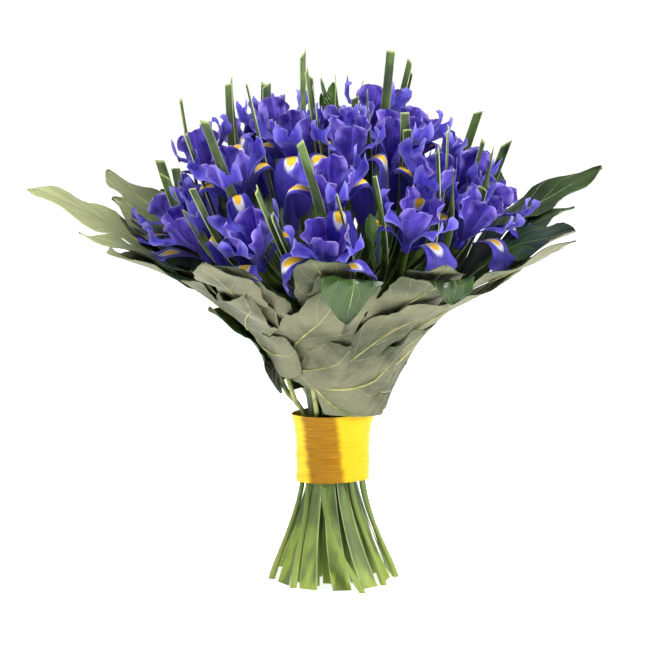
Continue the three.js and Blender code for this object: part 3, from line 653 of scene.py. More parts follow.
def make_ribbon_finish():
    satin = Finish("ribbon_satin", RIBBON_GOLD, 0.34, 0.16)
    satin.adjust(Anisotropic=0.5)
    threads = streaks(satin, 90, 14)
    satin.glaze(RIBBON_DEEP, threads, (0.35, 0.68))
    # painted highlights: two bands fixed by their place across the ribbon, at the left and the right,
    # leaning a little with height and ragged at their edges
    sideways = satin.plus(object_axis(satin, "X"), satin.times(object_axis(satin, "Z"), HIGHLIGHT_LEAN))
    ragged = satin.plus(sideways, satin.times(streaks(satin, 12, 5), HIGHLIGHT_RAGGED))
    satin.glaze(RIBBON_RIGHT_HIGHLIGHT, ragged, RIGHT_HIGHLIGHT_BAND, (0, 0.9))
    satin.glaze(RIBBON_LEFT_HIGHLIGHT, ragged, LEFT_HIGHLIGHT_BAND, (0.9, 0))
    satin.glaze(RIBBON_DEEP, threads, (0.52, 0.72), (0, 0.3))
    return satin.done(threads, 0.2, 0.0004)

def make_twine_finish():
    twine = Finish("twine_fibre", TWINE_DARK, 0.9, 0.2, follows_surface=False)
    wave = twine.node("TexWave", {"bands_direction": "DIAGONAL"}, Vector=object_point(twine),
                      Scale=260.0, Distortion=1.0)
    strands = wave.outputs["Fac"]
    twine.cover(TWINE_TAN, strands)
    return twine.done(strands, 0.8, 0.0006)

ribbon_finish = make_ribbon_finish()
twine_finish = make_twine_finish()
print("ribbon and twine finishes:", ribbon_finish.name, twine_finish.name)

# %% [markdown]
# ## Blanks
# A maker of sugar flowers first cuts each petal flat and then bends it. It is done so here too. A
# grid is added, and its rows are narrowed one by one with resize. A petal could also be sculpted
# in the round, but a blank is cut once, and its copies, each with its own mesh, are bent in many
# ways.

# %% Selecting and handling pieces
SMOOTH_UNDER = math.radians(50)

def select_only(*pieces):
    """Selects these pieces and nothing else. The first of them is the active one."""
    if bpy.context.object and bpy.context.object.mode != "OBJECT":
        bpy.ops.object.mode_set(mode="OBJECT")
    bpy.ops.object.select_all(action="DESELECT")
    for piece in pieces:
        piece.select_set(True)
    if pieces:
        bpy.context.view_layer.objects.active = pieces[0]

def copy_of(blank, name):
    piece = blank.copy()
    piece.data = blank.data.copy()
    piece.name = name
    bpy.context.collection.objects.link(piece)
    return piece

def joined(pieces, name):
    select_only(*pieces)
    bpy.ops.object.join()
    whole = bpy.context.object
    whole.name = name
    whole.data.name = name
    return whole

def thickened(piece, thickness, under=0):
    """Gives a sheet a wall. The finish of its underside is that many slots further on."""
    select_only(piece)
    wall = piece.modifiers.new("thickness", "SOLIDIFY")
    wall.thickness = thickness * METRE
    wall.offset = 0
    wall.material_offset = under
    bpy.ops.object.modifier_apply(modifier=wall.name)
    return piece

def finished(piece, node_name):
    """Smooths a piece and puts it in the place of its solid."""
    select_only(piece)
    bpy.ops.object.shade_smooth_by_angle(angle=SMOOTH_UNDER)
    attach(piece, "root")
    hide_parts(node_name)
    return piece

def faces_of(pieces):
    return sum(len(piece.data.polygons) for piece in pieces)

print("edges sharper than", round(math.degrees(SMOOTH_UNDER)), "degrees stay sharp")

# %% Blanks and their points
STRAIGHT = [[0, 1], [1, 1]]
NARROWEST = 0.02

def coordinates(piece):
    values = np.empty(len(piece.data.vertices) * 3, np.float32)
    piece.data.vertices.foreach_get("co", values)
    return values.reshape(-1, 3).astype(float)

def set_coordinates(piece, points):
    """Moves the points of a piece to places given in millimetres."""
    metres = np.asarray(points * METRE, np.float32)
    piece.data.vertices.foreach_set("co", metres.ravel())
    piece.data.update()

def cut_blank(name, across, lengthwise, outline, finish):
    """A grid narrowed to an outline of [part of the length, half width] pairs."""
    select_only()
    bpy.ops.mesh.primitive_grid_add(
        x_subdivisions=across, y_subdivisions=lengthwise, size=2, location=(0, 0, 0))
    blank = bpy.context.object
    blank.name = name
    bpy.ops.object.mode_set(mode="EDIT")
    mesh = bmesh.from_edit_mesh(blank.data)
    for row in range(lengthwise + 1):
        part = row / lengthwise
        for vertex in mesh.verts:
            vertex.select = abs(vertex.co.y - (2 * part - 1)) < 0.5 / lengthwise
        mesh.select_flush(False)
        half = max(float(along(outline, part)), NARROWEST)
        bpy.ops.transform.resize(value=(half, 1, 1), center_override=(0, 0, 0))
    bpy.ops.object.mode_set(mode="OBJECT")
    blank.data.materials.append(finish)
    return blank

def unrolled(piece):
    """A blank's points, with how far each is from the middle line and from the root."""
    flat = coordinates(piece)
    return flat[:, 0], (flat[:, 1] + 1) / 2

print("a blank is nowhere narrower than", 2 * NARROWEST, "mm")

# %% Curves through stations
NEARBY = 0.01

def through(stations, parts):
    """Points on a smooth curve through the stations, at parts of its length from 0 to 1."""
    knots = np.asarray(stations, float)
    steps = np.concatenate([[0], np.cumsum(np.linalg.norm(np.diff(knots, axis=0), axis=1))])
    slopes = np.gradient(knots, steps, axis=0)
    at = np.clip(parts, 0, 1) * steps[-1]
    k = np.clip(np.searchsorted(steps, at, side="right") - 1, 0, len(knots) - 2)
    span = (steps[k + 1] - steps[k])[..., None]
    t = ((at - steps[k]) / span[..., 0])[..., None]
    first = knots[k] * (1 + 2 * t) * (1 - t) ** 2 + slopes[k] * span * t * (1 - t) ** 2
    second = knots[k + 1] * t * t * (3 - 2 * t) + slopes[k + 1] * span * t * t * (t - 1)
    return first + second

def heading(path, part):
    """The direction in which a path runs, at parts of its length."""
    ahead = path(np.clip(part + NEARBY, 0, 1)) - path(np.clip(part - NEARBY, 0, 1))
    return ahead / np.linalg.norm(ahead, axis=1)[:, None]

print("midway along a short curve:", through([[0, 0], [10, 10], [20, 0]], np.array([0.5])).round(1))

# %% [markdown]
# ## Petals
# A fall climbs out of the heart on a narrow haft, bends over and hangs down. A style arm arches
# over the haft and ends in two frilled crests. A standard stands up between two falls. Each is a
# blank led along a path of [out, up] stations. They are the solids' paths with more stations, so
# the petals are rounder but stay in the same place.

# %% Petal blanks
FALL_PATH = [
    [3.7, 3.5], [12, 14], [20, 22.5], [27, 27.3], [34, 27.8], [40, 24.5], [44, 17], [46, 6], [46.5, -6],
    [45, -17], [42, -26],
]
RESTING_PATH = [
    [3.7, 3.5], [12, 14], [20, 22.5], [27, 27], [34, 26.3], [41, 22], [47, 16], [51, 9], [53, 1], [53, -7],
]
STANDARD_PATH = [[3.4, 9.5], [8, 22], [12, 32], [15, 41], [17, 50], [17.4, 56], [16.6, 61]]
STYLE_PATH = [
    [3.4, 9.5], [8, 20], [12.5, 28], [18, 34.5], [24, 38.5], [29, 42], [32, 48], [31.5, 56], [28, 62],
]
FALL_OUTLINE = [
    [0, 1.8], [0.12, 3.4], [0.24, 6.5], [0.34, 9.5], [0.45, 13], [0.56, 17], [0.68, 19], [0.8, 18],
    [0.9, 13.5], [0.96, 8], [1, 2],
]
STANDARD_OUTLINE = [
    [0, 1.4], [0.2, 3], [0.36, 7], [0.52, 11], [0.68, 14], [0.8, 14], [0.9, 11], [0.96, 7.5], [1, 3],
]
STYLE_OUTLINE = [[0, 1.6], [0.2, 5], [0.4, 7.5], [0.6, 10], [0.75, 13], [0.88, 14], [1, 9.5]]

fall_blank = cut_blank("fall_blank", 12, 24, FALL_OUTLINE, fall_finish)
standard_blank = cut_blank("standard_blank", 10, 20, STANDARD_OUTLINE, standard_finish)
style_blank = cut_blank("style_blank", 10, 16, STYLE_OUTLINE, style_finish)
print("petal blanks:", [len(blank.data.polygons) for blank in (fall_blank, standard_blank, style_blank)])

# %% [markdown]
# ### Ruffles
# No two petals are alike: the rim waves, the middle is creased, and the whole twists a little. A
# cloth simulation would crumple them too, but it is slow and hard to steer. So the lift off the
# path is a sum of a few waves, and a seeded draw shifts them on each petal.

# %% Petal shapes
FALL_SHAPE = SimpleNamespace(
    cup=-3.5, ruffle=3.2, waves=3.2, twist=7.0, crease=-1.0, frill=1.2, notch=0.0)
STANDARD_SHAPE = SimpleNamespace(
    cup=2.5, ruffle=4.2, waves=2.8, twist=12.0, crease=2.6, frill=2.0, notch=0.08)
STYLE_SHAPE = SimpleNamespace(
    cup=-4.0, ruffle=2.4, waves=4.0, twist=5.0, crease=-1.2, frill=2.6, notch=0.24)
ONE_WAVE, RIM_SHIFT, FRILLS, CREASE_WIDTH = 6.28, 1.3, 8, 0.16

def petal_lift(shape, rim, part, seed, number):
    """How far a petal's points are lifted off its path. The rim is -1 and 1 at its edges."""
    phase = ONE_WAVE * draw(seed + number)
    waves = np.sin(part * shape.waves * ONE_WAVE + phase + np.sign(rim) * RIM_SHIFT)
    lift = shape.cup * rim ** 2 * smooth(part, 0.15, 0.8)
    lift = lift + shape.ruffle * waves * np.abs(rim) ** 1.5 * smooth(part, 0.3, 0.75)
    lift = lift + shape.frill * np.sin(rim * FRILLS + phase * 2) * smooth(part, 0.75, 1)
    lift = lift + shape.twist * (draw(seed * 1.7 + number) - 0.5) * part * rim
    return lift - shape.crease * np.exp(-((rim / CREASE_WIDTH) ** 2)) * smooth(part, 0.2, 0.5)

print("ruffles:", FALL_SHAPE.ruffle, STANDARD_SHAPE.ruffle, STYLE_SHAPE.ruffle, "mm")

# %% Bending petals
NARROW, WIDTH_SPREAD = 0.88, 0.24
HELD_FROM, HELD_TO = 0.02, 0.15

def bloom_frame(iris):
    """Where a bloom starts, its axis, and the two directions across it."""
    base = place(iris.seat, iris.height)
    out = polar(1.0, iris.azimuth)
    tilt = math.radians(iris.tilt)
    axis = np.array([out[0] * math.sin(tilt), out[1] * math.sin(tilt), math.cos(tilt)])
    outward = np.array([out[0], out[1], 0.0])
    outward -= axis * (outward @ axis)
    outward /= np.linalg.norm(outward)
    return base, axis, outward, np.cross(axis, outward)

def bend_petal(blank, iris, angle, path, shape, seed):
    """Copies a blank and bends it along a path that starts in the bloom's heart."""
    piece = copy_of(blank, f"{blank.name}_{iris.name}_{seed}")
    aside, part = unrolled(piece)
    rim = aside / np.abs(aside).max()
    aside = aside * (NARROW + WIDTH_SPREAD * draw(seed * 3.1 + iris.number))
    part_reached = part - shape.notch * (1 - np.abs(rim)) ** 1.5 * smooth(part, 0.55, 1)
    at = through(path, part_reached)
    ahead = heading(lambda some: through(path, some), part_reached)
    lift = petal_lift(shape, rim, part, seed, iris.number)
    reach = at[:, 0] - ahead[:, 1] * lift
    height = at[:, 1] + ahead[:, 0] * lift
    base, axis, outward, sideways = bloom_frame(iris)
    out = outward * math.cos(angle) + sideways * math.sin(angle)
    side = np.cross(axis, out)
    points = base + out * reach[:, None] + axis * height[:, None] + side * aside[:, None]
    freed = smooth(part, HELD_FROM, HELD_TO)[:, None]
    set_coordinates(piece, points * (1 - freed) + keep_in(iris, points) * freed)
    return piece

print("petals are", NARROW, "to", NARROW + WIDTH_SPREAD, "times as wide as their blank")

# %% [markdown]
# ## Stalks
# A stem, a petiole and a rib are all tapered tubes along a curve. A curve object with a bevel
# would give such a tube, but its end is square to the curve and wouldn't lie flat on the floor. So
# the blank is a cylinder whose sides are cut into rings, and each copy is led along its own path.
# Where a path starts at the floor, the lowest ring is set flat on it.

# %% Stalk blanks
STALK_RINGS, RIB_RINGS = 24, 14

def round_blank(name, sides, rings):
    select_only()
    bpy.ops.mesh.primitive_cylinder_add(vertices=sides, radius=1, depth=2, location=(0, 0, 0))
    blank = bpy.context.object
    blank.name = name
    bpy.ops.object.mode_set(mode="EDIT")
    for edge in bmesh.from_edit_mesh(blank.data).edges:
        edge.select = abs(edge.verts[0].co.z - edge.verts[1].co.z) > 1
    bpy.ops.mesh.subdivide(number_cuts=rings - 1)
    bpy.ops.object.mode_set(mode="OBJECT")
    return blank

def lead_along(blank, name, path, radii, finish):
    """Copies a round blank along path, a function of the part of its length from 0 to 1."""
    piece = copy_of(blank, name)
    piece.data.materials.clear()
    piece.data.materials.append(finish)
    flat = coordinates(piece)
    part = (flat[:, 2] + 1) / 2
    centre, ahead = path(part), heading(path, part)
    level = centre * [1, 1, 0]
    level[np.linalg.norm(level, axis=1) < 1] = [1, 0, 0]
    across = np.cross(level, [0, 0, -1.0])
    across -= ahead * np.sum(across * ahead, axis=1)[:, None]
    across /= np.linalg.norm(across, axis=1)[:, None]
    up = np.cross(ahead, across)
    radius = along(radii, part)[:, None]
    points = centre + (across * flat[:, :1] + up * flat[:, 1:2]) * radius
    foot = (part < 0.5 / STALK_RINGS) & (centre[:, 2] < 1)
    points[foot, 2] = 0
    set_coordinates(piece, points)
    return piece

stalk_blank = round_blank("stalk_blank", 10, STALK_RINGS)
rib_blank = round_blank("rib_blank", 6, RIB_RINGS)
print("stalk blanks:", [len(blank.data.vertices) for blank in (stalk_blank, rib_blank)], "points")

# %% [markdown]
# ## Blooms
# An iris has its petals in threes, all growing out of one heart. One bloom copied twenty-four
# times would look stamped, so every bloom is bent anew from the three blanks. Those falls of the
# outer blooms that hang outwards rest on the collar leaves.

# %% Blooms
HEART_LENGTH, HEART_RADIUS = 13, 4.4
PETAL_THICKNESS = 0.5

def make_petals(iris):
    petals = []
    for k in (0, 2, 4):
        angle = math.radians(iris.turn + 60 * k)
        between = angle + math.pi / 3
        resting = iris.ring == "outer" and math.cos(angle) > 0.5
        fall_path = RESTING_PATH if resting else FALL_PATH
        petals.append(bend_petal(fall_blank, iris, angle, fall_path, FALL_SHAPE, k + 0.1))
        petals.append(bend_petal(style_blank, iris, angle, STYLE_PATH, STYLE_SHAPE, k + 0.2))
        petals.append(bend_petal(standard_blank, iris, between, STANDARD_PATH, STANDARD_SHAPE, k + 0.3))
    return thickened(joined(petals, "petals"), PETAL_THICKNESS)

def make_heart(iris):
    base, axis, _, _ = bloom_frame(iris)
    radii = [[0, HEART_RADIUS], [0.5, HEART_RADIUS], [1, HEART_RADIUS * 0.7]]
    path = lambda part: base + axis * (part * HEART_LENGTH)[:, None]
    return lead_along(rib_blank, "heart", path, radii, style_finish)

def make_bloom(iris):
    whole = joined([make_petals(iris), make_heart(iris)], f"bloom_{iris.name}")
    return finished(whole, f"iris_bloom_{iris.name}")

blooms = [make_bloom(iris) for iris in irises]
print("blooms:", len(blooms), "with", faces_of(blooms), "faces")

# %% [markdown]
# ## Stems
# A stem is slimmest in the tie, and swells into a spathe, the green sheath under its bloom. It
# could be one straight cone, but the bloom is tilted, so the path's last points turn from the
# bundle's line into the bloom's axis.

# %% Stems
STEM_RADII = [[0, 4.2], [TIE_LEVEL, 2.5], [300, 3.1]]
SPATHE_RADIUS, SPATHE_BELOW, SPATHE_LENGTH, NECK_GAP = 5, 24, 50, 0.4
STEM_STATIONS = 30

def stem_path(iris):
    base, axis, _, _ = bloom_frame(iris)
    low = np.linspace(0, iris.height - SPATHE_BELOW, STEM_STATIONS)
    points = place(iris.seat, np.append(low, iris.height - SPATHE_BELOW * 0.45))
    top = base - axis * NECK_GAP
    points[-1] = (points[-1] + top - axis * SPATHE_BELOW * 0.5) / 2
    knots = np.vstack([points, top])
    return lambda part: through(knots, part)

def make_stem(iris):
    radii = [[z / iris.height, radius] for z, radius in STEM_RADII]
    radii.append([1 - SPATHE_LENGTH / iris.height, STEM_RADII[-1][1]])
    radii.append([1 - SPATHE_BELOW / iris.height, SPATHE_RADIUS])
    radii.append([1, HEART_RADIUS])
    return lead_along(stalk_blank, "stem", stem_path(iris), radii, stem_finish)

print("stems are", STEM_RADII[1][1] * 2, "mm thick in the tie")

# %% [markdown]
# ## Strap leaves
# A strap leaf starts on its own stem, or at the floor, and higher up stands in its berth by the
# wall of the share. The outer ones hug their stem in the ribbon and fan out below it. A curve
# modifier would bend such leaves, but it knows no walls. So the rows of a straight blank are
# placed level by level, and each row asks how much room there is.

# %% Where a strap leaf stands
STRAP_HALF = [[0, 9.2], [100, 4.6], [160, 4.6], [300, 5.5], [350, 4.6], [500, 4]]
BLADE_HALF = [[170, 1.6], [230, 4], [300, 5.5], [350, 4.6], [500, 4]]
LEAF_NODE, NODE_LENGTH, STRAP_SPLAY = 170, 40, 6
LEAVES_STEM, REACHES_BERTH = 145, 285
LEAF_WALL_GAP, EDGE_WALL_GAP, LEAST_HALF = 1.3, 0.9, 0.3
STEM_HUG, HUG_GAP = 0.81, 0.35

def side_room(iris, normal, across, distance, half, scale):
    """How wide a leaf can be to each side before it meets a wall."""
    room = []
    for step in (-1, 1):
        free = half
        for wall in iris.walls:
            facing = wall.normal @ across * step
            if facing >= PASSING:
                used = wall.normal @ normal * distance
                free = min(free, (wall.distance - EDGE_WALL_GAP / scale - used) / facing)
        room.append(max(free, LEAST_HALF))
    return room

def strap_section(iris, leaf, z):
    """The middle, the direction of the face and the room to each side, at a level."""
    scale = float(spread(z))
    rise = float(smooth(z, LEAVES_STEM, REACHES_BERTH))
    start = math.atan2(iris.seat[1], iris.seat[0]) if leaf.from_floor else leaf.aim
    swing = (leaf.aim - start + math.pi) % (2 * math.pi) - math.pi
    angle = start + swing * rise
    wall = leaf.distance - LEAF_WALL_GAP / scale
    hug = (float(along(STEM_RADII, z)) * STEM_HUG + HUG_GAP) / scale
    close = hug + STRAP_SPLAY * max(1 - z / TIE_LEVEL, 0) if leaf.outside else min(hug, wall)
    if not leaf.from_floor:
        close *= float(smooth(z, LEAF_NODE, LEAF_NODE + NODE_LENGTH))
    distance = close + (wall - close) * rise
    normal = np.array([math.cos(angle), math.sin(angle)])
    across = np.array([-normal[1], normal[0]])
    half = float(along(STRAP_HALF if leaf.from_floor else BLADE_HALF, z)) / scale
    room = side_room(iris, normal, across, distance, half, scale)
    return iris.seat + normal * distance, normal, across, room, scale

print("strap leaves leave their stems at", LEAVES_STEM, "mm")

# %% Plans for the strap leaves
BLOOM_HEIGHT, TOP_SPREAD = 50, 44
SLANT_SPREAD, FOLD_LEAST, FOLD_SPREAD = 8, 0.6, 1.4

def leaf_plan(iris, berth, above, seed, blunt_share, outside, from_floor):
    """One strap leaf: its berth, how far it stands above the bloom, and how its tip is cut."""
    tall = iris.height + BLOOM_HEIGHT * math.cos(math.radians(iris.tilt))
    number = iris.number + seed
    return SimpleNamespace(
        aim=berth[0], distance=berth[1], outside=outside, from_floor=from_floor,
        top=tall + above + TOP_SPREAD * draw(number + 0.3),
        slant=SLANT_SPREAD * (draw(number + 0.5) - 0.5),
        pointed=draw(number + 0.7) > blunt_share,
        fold=FOLD_LEAST + FOLD_SPREAD * draw(number + 0.8),
    )

def leaves_of(iris, order):
    outside = iris.ring == "outer"
    berths = iris.berths
    first = berths[order % 2 if outside else 0]
    second = berths[(order + 1) % 2 if outside else min(2, len(berths) - 1)]
    return [
        leaf_plan(iris, first, 10, 0, 0.8, outside, iris.ring in ("outer", "middle")),
        leaf_plan(iris, second, 6, 0.6, 0.75, False, False),
    ]

plans = [leaves_of(iris, order) for order, iris in enumerate(irises)]
print("the highest leaf tip is", round(max(leaf.top for pair in plans for leaf in pair)), "mm up")

# %% Leafy stems
STRAP_THICKNESS = 0.8
TAPER_LENGTH, TAPER_OVER, SLANT_LENGTH = 70, 4, 15
FOLD_STARTS, FOLD_IS_FULL = 120, 220

strap_blank = cut_blank("strap_blank", 6, 40, STRAIGHT, strap_finish)

def make_strap(iris, leaf, order):
    piece = copy_of(strap_blank, f"strap_{iris.name}_{order}")
    flat = coordinates(piece)
    foot = 0 if leaf.from_floor else LEAF_NODE
    points = np.empty_like(flat)
    for level in np.unique(flat[:, 1].round(4)):
        row = np.abs(flat[:, 1] - level) < 1e-3
        z = foot + (leaf.top - foot) * (level + 1) / 2
        middle, normal, across, room, scale = strap_section(iris, leaf, z)
        side = flat[row, 0]
        width = np.where(side < 0, room[0], room[1])
        if leaf.pointed:
            width = width * (1 - float(smooth(z, leaf.top - TAPER_LENGTH, leaf.top + TAPER_OVER)))
        fold = leaf.fold * np.abs(side) * float(smooth(z, FOLD_STARTS, FOLD_IS_FULL)) / scale
        seats = middle + across * (side * width)[:, None] - normal * fold[:, None]
        slant = leaf.slant * float(smooth(z, leaf.top - SLANT_LENGTH, leaf.top))
        points[row] = place(seats, z + slant * side * (z > 1))
    set_coordinates(piece, points)
    return piece

def make_leafy_stem(iris, leaves):
    straps = [make_strap(iris, leaf, i) for i, leaf in enumerate(leaves)]
    leafage = thickened(joined(straps, "straps"), STRAP_THICKNESS)
    whole = joined([leafage, make_stem(iris)], f"stem_{iris.name}")
    return finished(whole, f"iris_stem_{iris.name}")

stems = [make_leafy_stem(iris, leaves) for iris, leaves in zip(irises, plans)]
print("stems:", len(stems), "with", faces_of(stems), "faces")

# %% [markdown]
# ## Collar leaves
# A collar leaf is a hand of seven lobes on a petiole, and its tip may be folded outwards. The flat
# leaf is laid on the collar surface, as a wet cloth is laid over a bowl. Shrinkwrap would press it
# on too, but at one distance everywhere. Here a leaf comes further out on one side than on the
# other, so that neighbours overlap like shingles. Lobes that reach far round are tucked in.

# %% Leaf plans
def collar_leaf(name, azimuth, seat, climb, size, roll, lean=0, fold=math.inf):
    """One collar leaf: where it is set and how it is turned. Past the fold it is turned over."""
    return SimpleNamespace(name=name, azimuth=azimuth, seat=seat, climb=climb, size=size,
                           roll=roll, lean=lean, fold=fold)

LEAVES = [
    collar_leaf("left", azimuth=180, seat=175.5, climb=84, size=1.6, roll=4),
    collar_leaf("front_left", azimuth=213, seat=214, climb=54, size=1.58, roll=-9),
    collar_leaf("front", azimuth=247, seat=246, climb=34, size=1.5, roll=30, lean=30, fold=178),
    collar_leaf("front_right", azimuth=292, seat=306, climb=36, size=1.5, roll=10, fold=196),
    collar_leaf("right", azimuth=334, seat=338, climb=70, size=1.45, roll=-4),
    collar_leaf("back_right", azimuth=14, seat=9, climb=78, size=1.5, roll=0),
    collar_leaf("back", azimuth=75, seat=86, climb=62, size=1.4, roll=-10),
    collar_leaf("back_left", azimuth=130, seat=130.5, climb=58, size=1.3, roll=12),
]
LAYER_STEP, OVERLAP_STEP = 0.12, 0.04
TUCK_FROM, TUCKED_PART, LOWEST_LENGTH = 60, 0.4, 2
FOLD_RADIUS, FOLD_ANGLE, FOLD_SLANT, FOLDED_PART = 5, 2.5, 0.35, 0.33
CONE_SINE = math.sin(math.radians(COLLAR_CONE))
APEX = COLLAR_REACH / CONE_SINE

def turned_over(out, across, depth, start):
    """The same points, with the middle lobe past the start of the fold turned over outwards."""
    past = np.clip(out - start - FOLD_SLANT * across, 0, None)
    curl = np.minimum(past / FOLD_RADIUS, FOLD_ANGLE)
    rest = past - curl * FOLD_RADIUS
    folded_out = out - past + FOLD_RADIUS * np.sin(curl) + rest * np.cos(curl) - depth * np.sin(curl)
    folded_depth = FOLD_RADIUS * (1 - np.cos(curl)) + rest * np.sin(curl) + depth * np.cos(curl)
    middle_lobe = np.abs(np.arctan2(across, out)) < FOLDED_PART
    return np.where(middle_lobe, folded_out, out), np.where(middle_lobe, folded_depth, depth)

def lay(leaf, out, across, depth=0.0):
    """Points of the flat leaf laid on the collar. Lobes that swing far round are tucked in."""
    out, depth = turned_over(out, across, depth, leaf.fold)
    roll = math.radians(leaf.roll)
    forward = APEX + leaf.climb + out * math.cos(roll) - across * math.sin(roll)
    aside = out * math.sin(roll) + across * math.cos(roll)
    free = np.degrees(np.arctan2(aside, forward)) / CONE_SINE
    swing = np.minimum(free, TUCK_FROM) + TUCKED_PART * np.clip(free - TUCK_FROM, 0, None)
    length = np.maximum(np.hypot(forward, aside) - APEX, LOWEST_LENGTH)
    layer = LAYER_STEP * swing + np.where(swing > 0, OVERLAP_STEP * swing, 0)
    return collar_point(length, leaf.azimuth + swing, layer + depth)

print("collar leaves:", [leaf.name for leaf in LEAVES])

# %% [markdown]
# ### The flat leaf
# One lobe is cut as a blank. Seven copies are set round the leaf's middle, and their shared edges
# are merged up to the notch between two lobes. The leaf could be cut whole from one outline, but
# then the veins wouldn't follow its lobes. Its normals are put right before it gets its wall, so
# that the underside gets the matte finish.

# %% Lobes
LOBE_ANGLES = [-112, -76, -38, 0, 38, 76, 112]
LOBE_LENGTHS = [80, 115, 140, 150, 140, 115, 80]
LOBE_WIDTHS = [
    [0.42, 0.86], [0.5, 0.93], [0.62, 1.0], [0.74, 0.93], [0.84, 0.74], [0.92, 0.46], [0.97, 0.22],
    [1, 0.02],
]
LOBE_HALF, NOTCH_PART, NOTCH_ROUND, END_SPLAY = 23, 0.42, 0.1, 24
TOOTH_SIZE, TEETH = 0.1, 12

def ray(lengths, angle):
    return np.stack([lengths * math.cos(angle), lengths * math.sin(angle)], -1)

def lobe_border(lobe, step, part):
    """The line that a lobe shares with the lobe beside it, up to the notch."""
    angle, length = math.radians(LOBE_ANGLES[lobe]), LOBE_LENGTHS[lobe]
    beside = lobe + step
    if 0 <= beside < len(LOBE_ANGLES):
        angle = math.radians((LOBE_ANGLES[beside] + LOBE_ANGLES[lobe]) / 2)
        length = min(length, LOBE_LENGTHS[beside])
    else:
        angle = angle + step * math.radians(END_SPLAY)
    return ray(length * np.minimum(part, NOTCH_PART), angle)

def lobe_points(side, part, lobe):
    """Where the points of a lobe lie in the flat leaf, as (out, across) in millimetres."""
    angle, length = math.radians(LOBE_ANGLES[lobe]), LOBE_LENGTHS[lobe]
    half = LOBE_HALF * (0.55 + 0.45 * length / max(LOBE_LENGTHS))
    teeth = 1 + TOOTH_SIZE * ((part * TEETH) % 1 - 0.5) * smooth(part, 0.5, 0.6)
    width = half * along(LOBE_WIDTHS, part) * teeth
    past_notch = smooth(part, NOTCH_PART, NOTCH_PART + NOTCH_ROUND)[:, None]
    middle = ray(length * part, angle)
    aside = np.array([-math.sin(angle), math.cos(angle)])
    result = np.empty((len(side), 2))
    for step in (-1, 1):
        free = middle + aside * (width * step)[:, None]
        outer = lobe_border(lobe, step, part) * (1 - past_notch) + free * past_notch
        rows = side * step >= 0
        share = np.abs(side)[rows, None]
        result[rows] = middle[rows] * (1 - share) + outer[rows] * share
    return result

print("lobes:", len(LOBE_ANGLES), "from", min(LOBE_LENGTHS), "to", max(LOBE_LENGTHS), "mm long")

# %% Leaf blank
lobe_blank = cut_blank("lobe_blank", 10, 36, STRAIGHT, leaf_top_finish)

def make_leaf_blank():
    lobes = []
    for lobe in range(len(LOBE_ANGLES)):
        piece = copy_of(lobe_blank, f"lobe_{lobe}")
        side, part = unrolled(piece)
        rim = np.abs(side) ** 2 * smooth(part, 0.2, 0.6)
        set_coordinates(piece, np.column_stack([lobe_points(side, part, lobe), rim]))
        lobes.append(piece)
    leaf = joined(lobes, "leaf_blank")
    bpy.ops.object.mode_set(mode="EDIT")
    bpy.ops.mesh.select_all(action="SELECT")
    bpy.ops.mesh.remove_doubles(threshold=0.01 * METRE)
    bpy.ops.mesh.normals_make_consistent(inside=False)
    if sum(face.normal.z for face in bmesh.from_edit_mesh(leaf.data).faces) < 0:
        bpy.ops.mesh.flip_normals()
    bpy.ops.object.mode_set(mode="OBJECT")
    leaf.data.materials.append(leaf_under_finish)
    return leaf

leaf_blank = make_leaf_blank()
print("leaf blank:", len(leaf_blank.data.polygons), "faces,", len(leaf_blank.data.vertices), "points")

# %% Blades, petioles and ribs
LEAF_THICKNESS = 0.8
EDGE_WAVE, BLADE_WAVE, EDGE_ROLL = 3.0, 1.2, 1.5
PETIOLE_REACH, PETIOLE_RADIUS, LEAN_REACH = 28.2, 2.3, 4.9
PETIOLE_LEVELS, LEANING_LEVELS = [0, 100, 130, 161], [0, 50, 100, 130, 161]
RIB_RADII, RIB_DEPTH, RIB_PART = [[0, 1.5], [0.4, 0.9], [1, 0.3]], 0.7, 0.94

def make_blade(leaf, order):
    piece = copy_of(leaf_blank, f"blade_{leaf.name}")
    flat = coordinates(piece) / METRE
    out, across, edge = flat[:, 0] * leaf.size, flat[:, 1] * leaf.size, flat[:, 2]
    reach, around = np.hypot(out, across), np.arctan2(across, out)
    wave = EDGE_WAVE * edge * np.sin(reach * 0.11 + order * 2.1 + around * 3)
    wave = wave + BLADE_WAVE * np.sin(reach * 0.06 + around * 4 + order) * smooth(reach, 20, 60)
    set_coordinates(piece, lay(leaf, out, across, wave - EDGE_ROLL * edge))
    return thickened(piece, LEAF_THICKNESS, under=1)

def petiole_path(leaf):
    seat = polar(1.0, leaf.seat)
    knots = []
    for z in LEANING_LEVELS if leaf.lean else PETIOLE_LEVELS:
        below = max(1 - z / TIE_LEVEL, 0)
        reach = PETIOLE_REACH + (LEAN_REACH if leaf.lean and below else 0)
        knots.append(place(rotated(seat * reach, math.radians(leaf.lean * below)), z))
    for part in (0.15, 0.5, 1):
        knots.append(collar_point(np.array((leaf.climb + 5) * part), leaf.azimuth, 0))
    return lambda part: through(knots, part)

def rib_path(leaf, lobe):
    length = LOBE_LENGTHS[lobe] * leaf.size * RIB_PART
    turn = math.radians(LOBE_ANGLES[lobe])
    return lambda part: lay(leaf, length * part * math.cos(turn), length * part * math.sin(turn), RIB_DEPTH)

def make_collar_leaf(leaf, order):
    pieces = [make_blade(leaf, order)]
    radii = [[0, PETIOLE_RADIUS * 1.5], [0.15, PETIOLE_RADIUS], [1, PETIOLE_RADIUS]]
    pieces.append(lead_along(stalk_blank, "petiole", petiole_path(leaf), radii, rib_finish))
    for lobe in range(len(LOBE_ANGLES)):
        pieces.append(lead_along(rib_blank, "rib", rib_path(leaf, lobe), RIB_RADII, rib_finish))
    return finished(joined(pieces, f"collar_{leaf.name}"), f"fatsia_leaf_{leaf.name}")

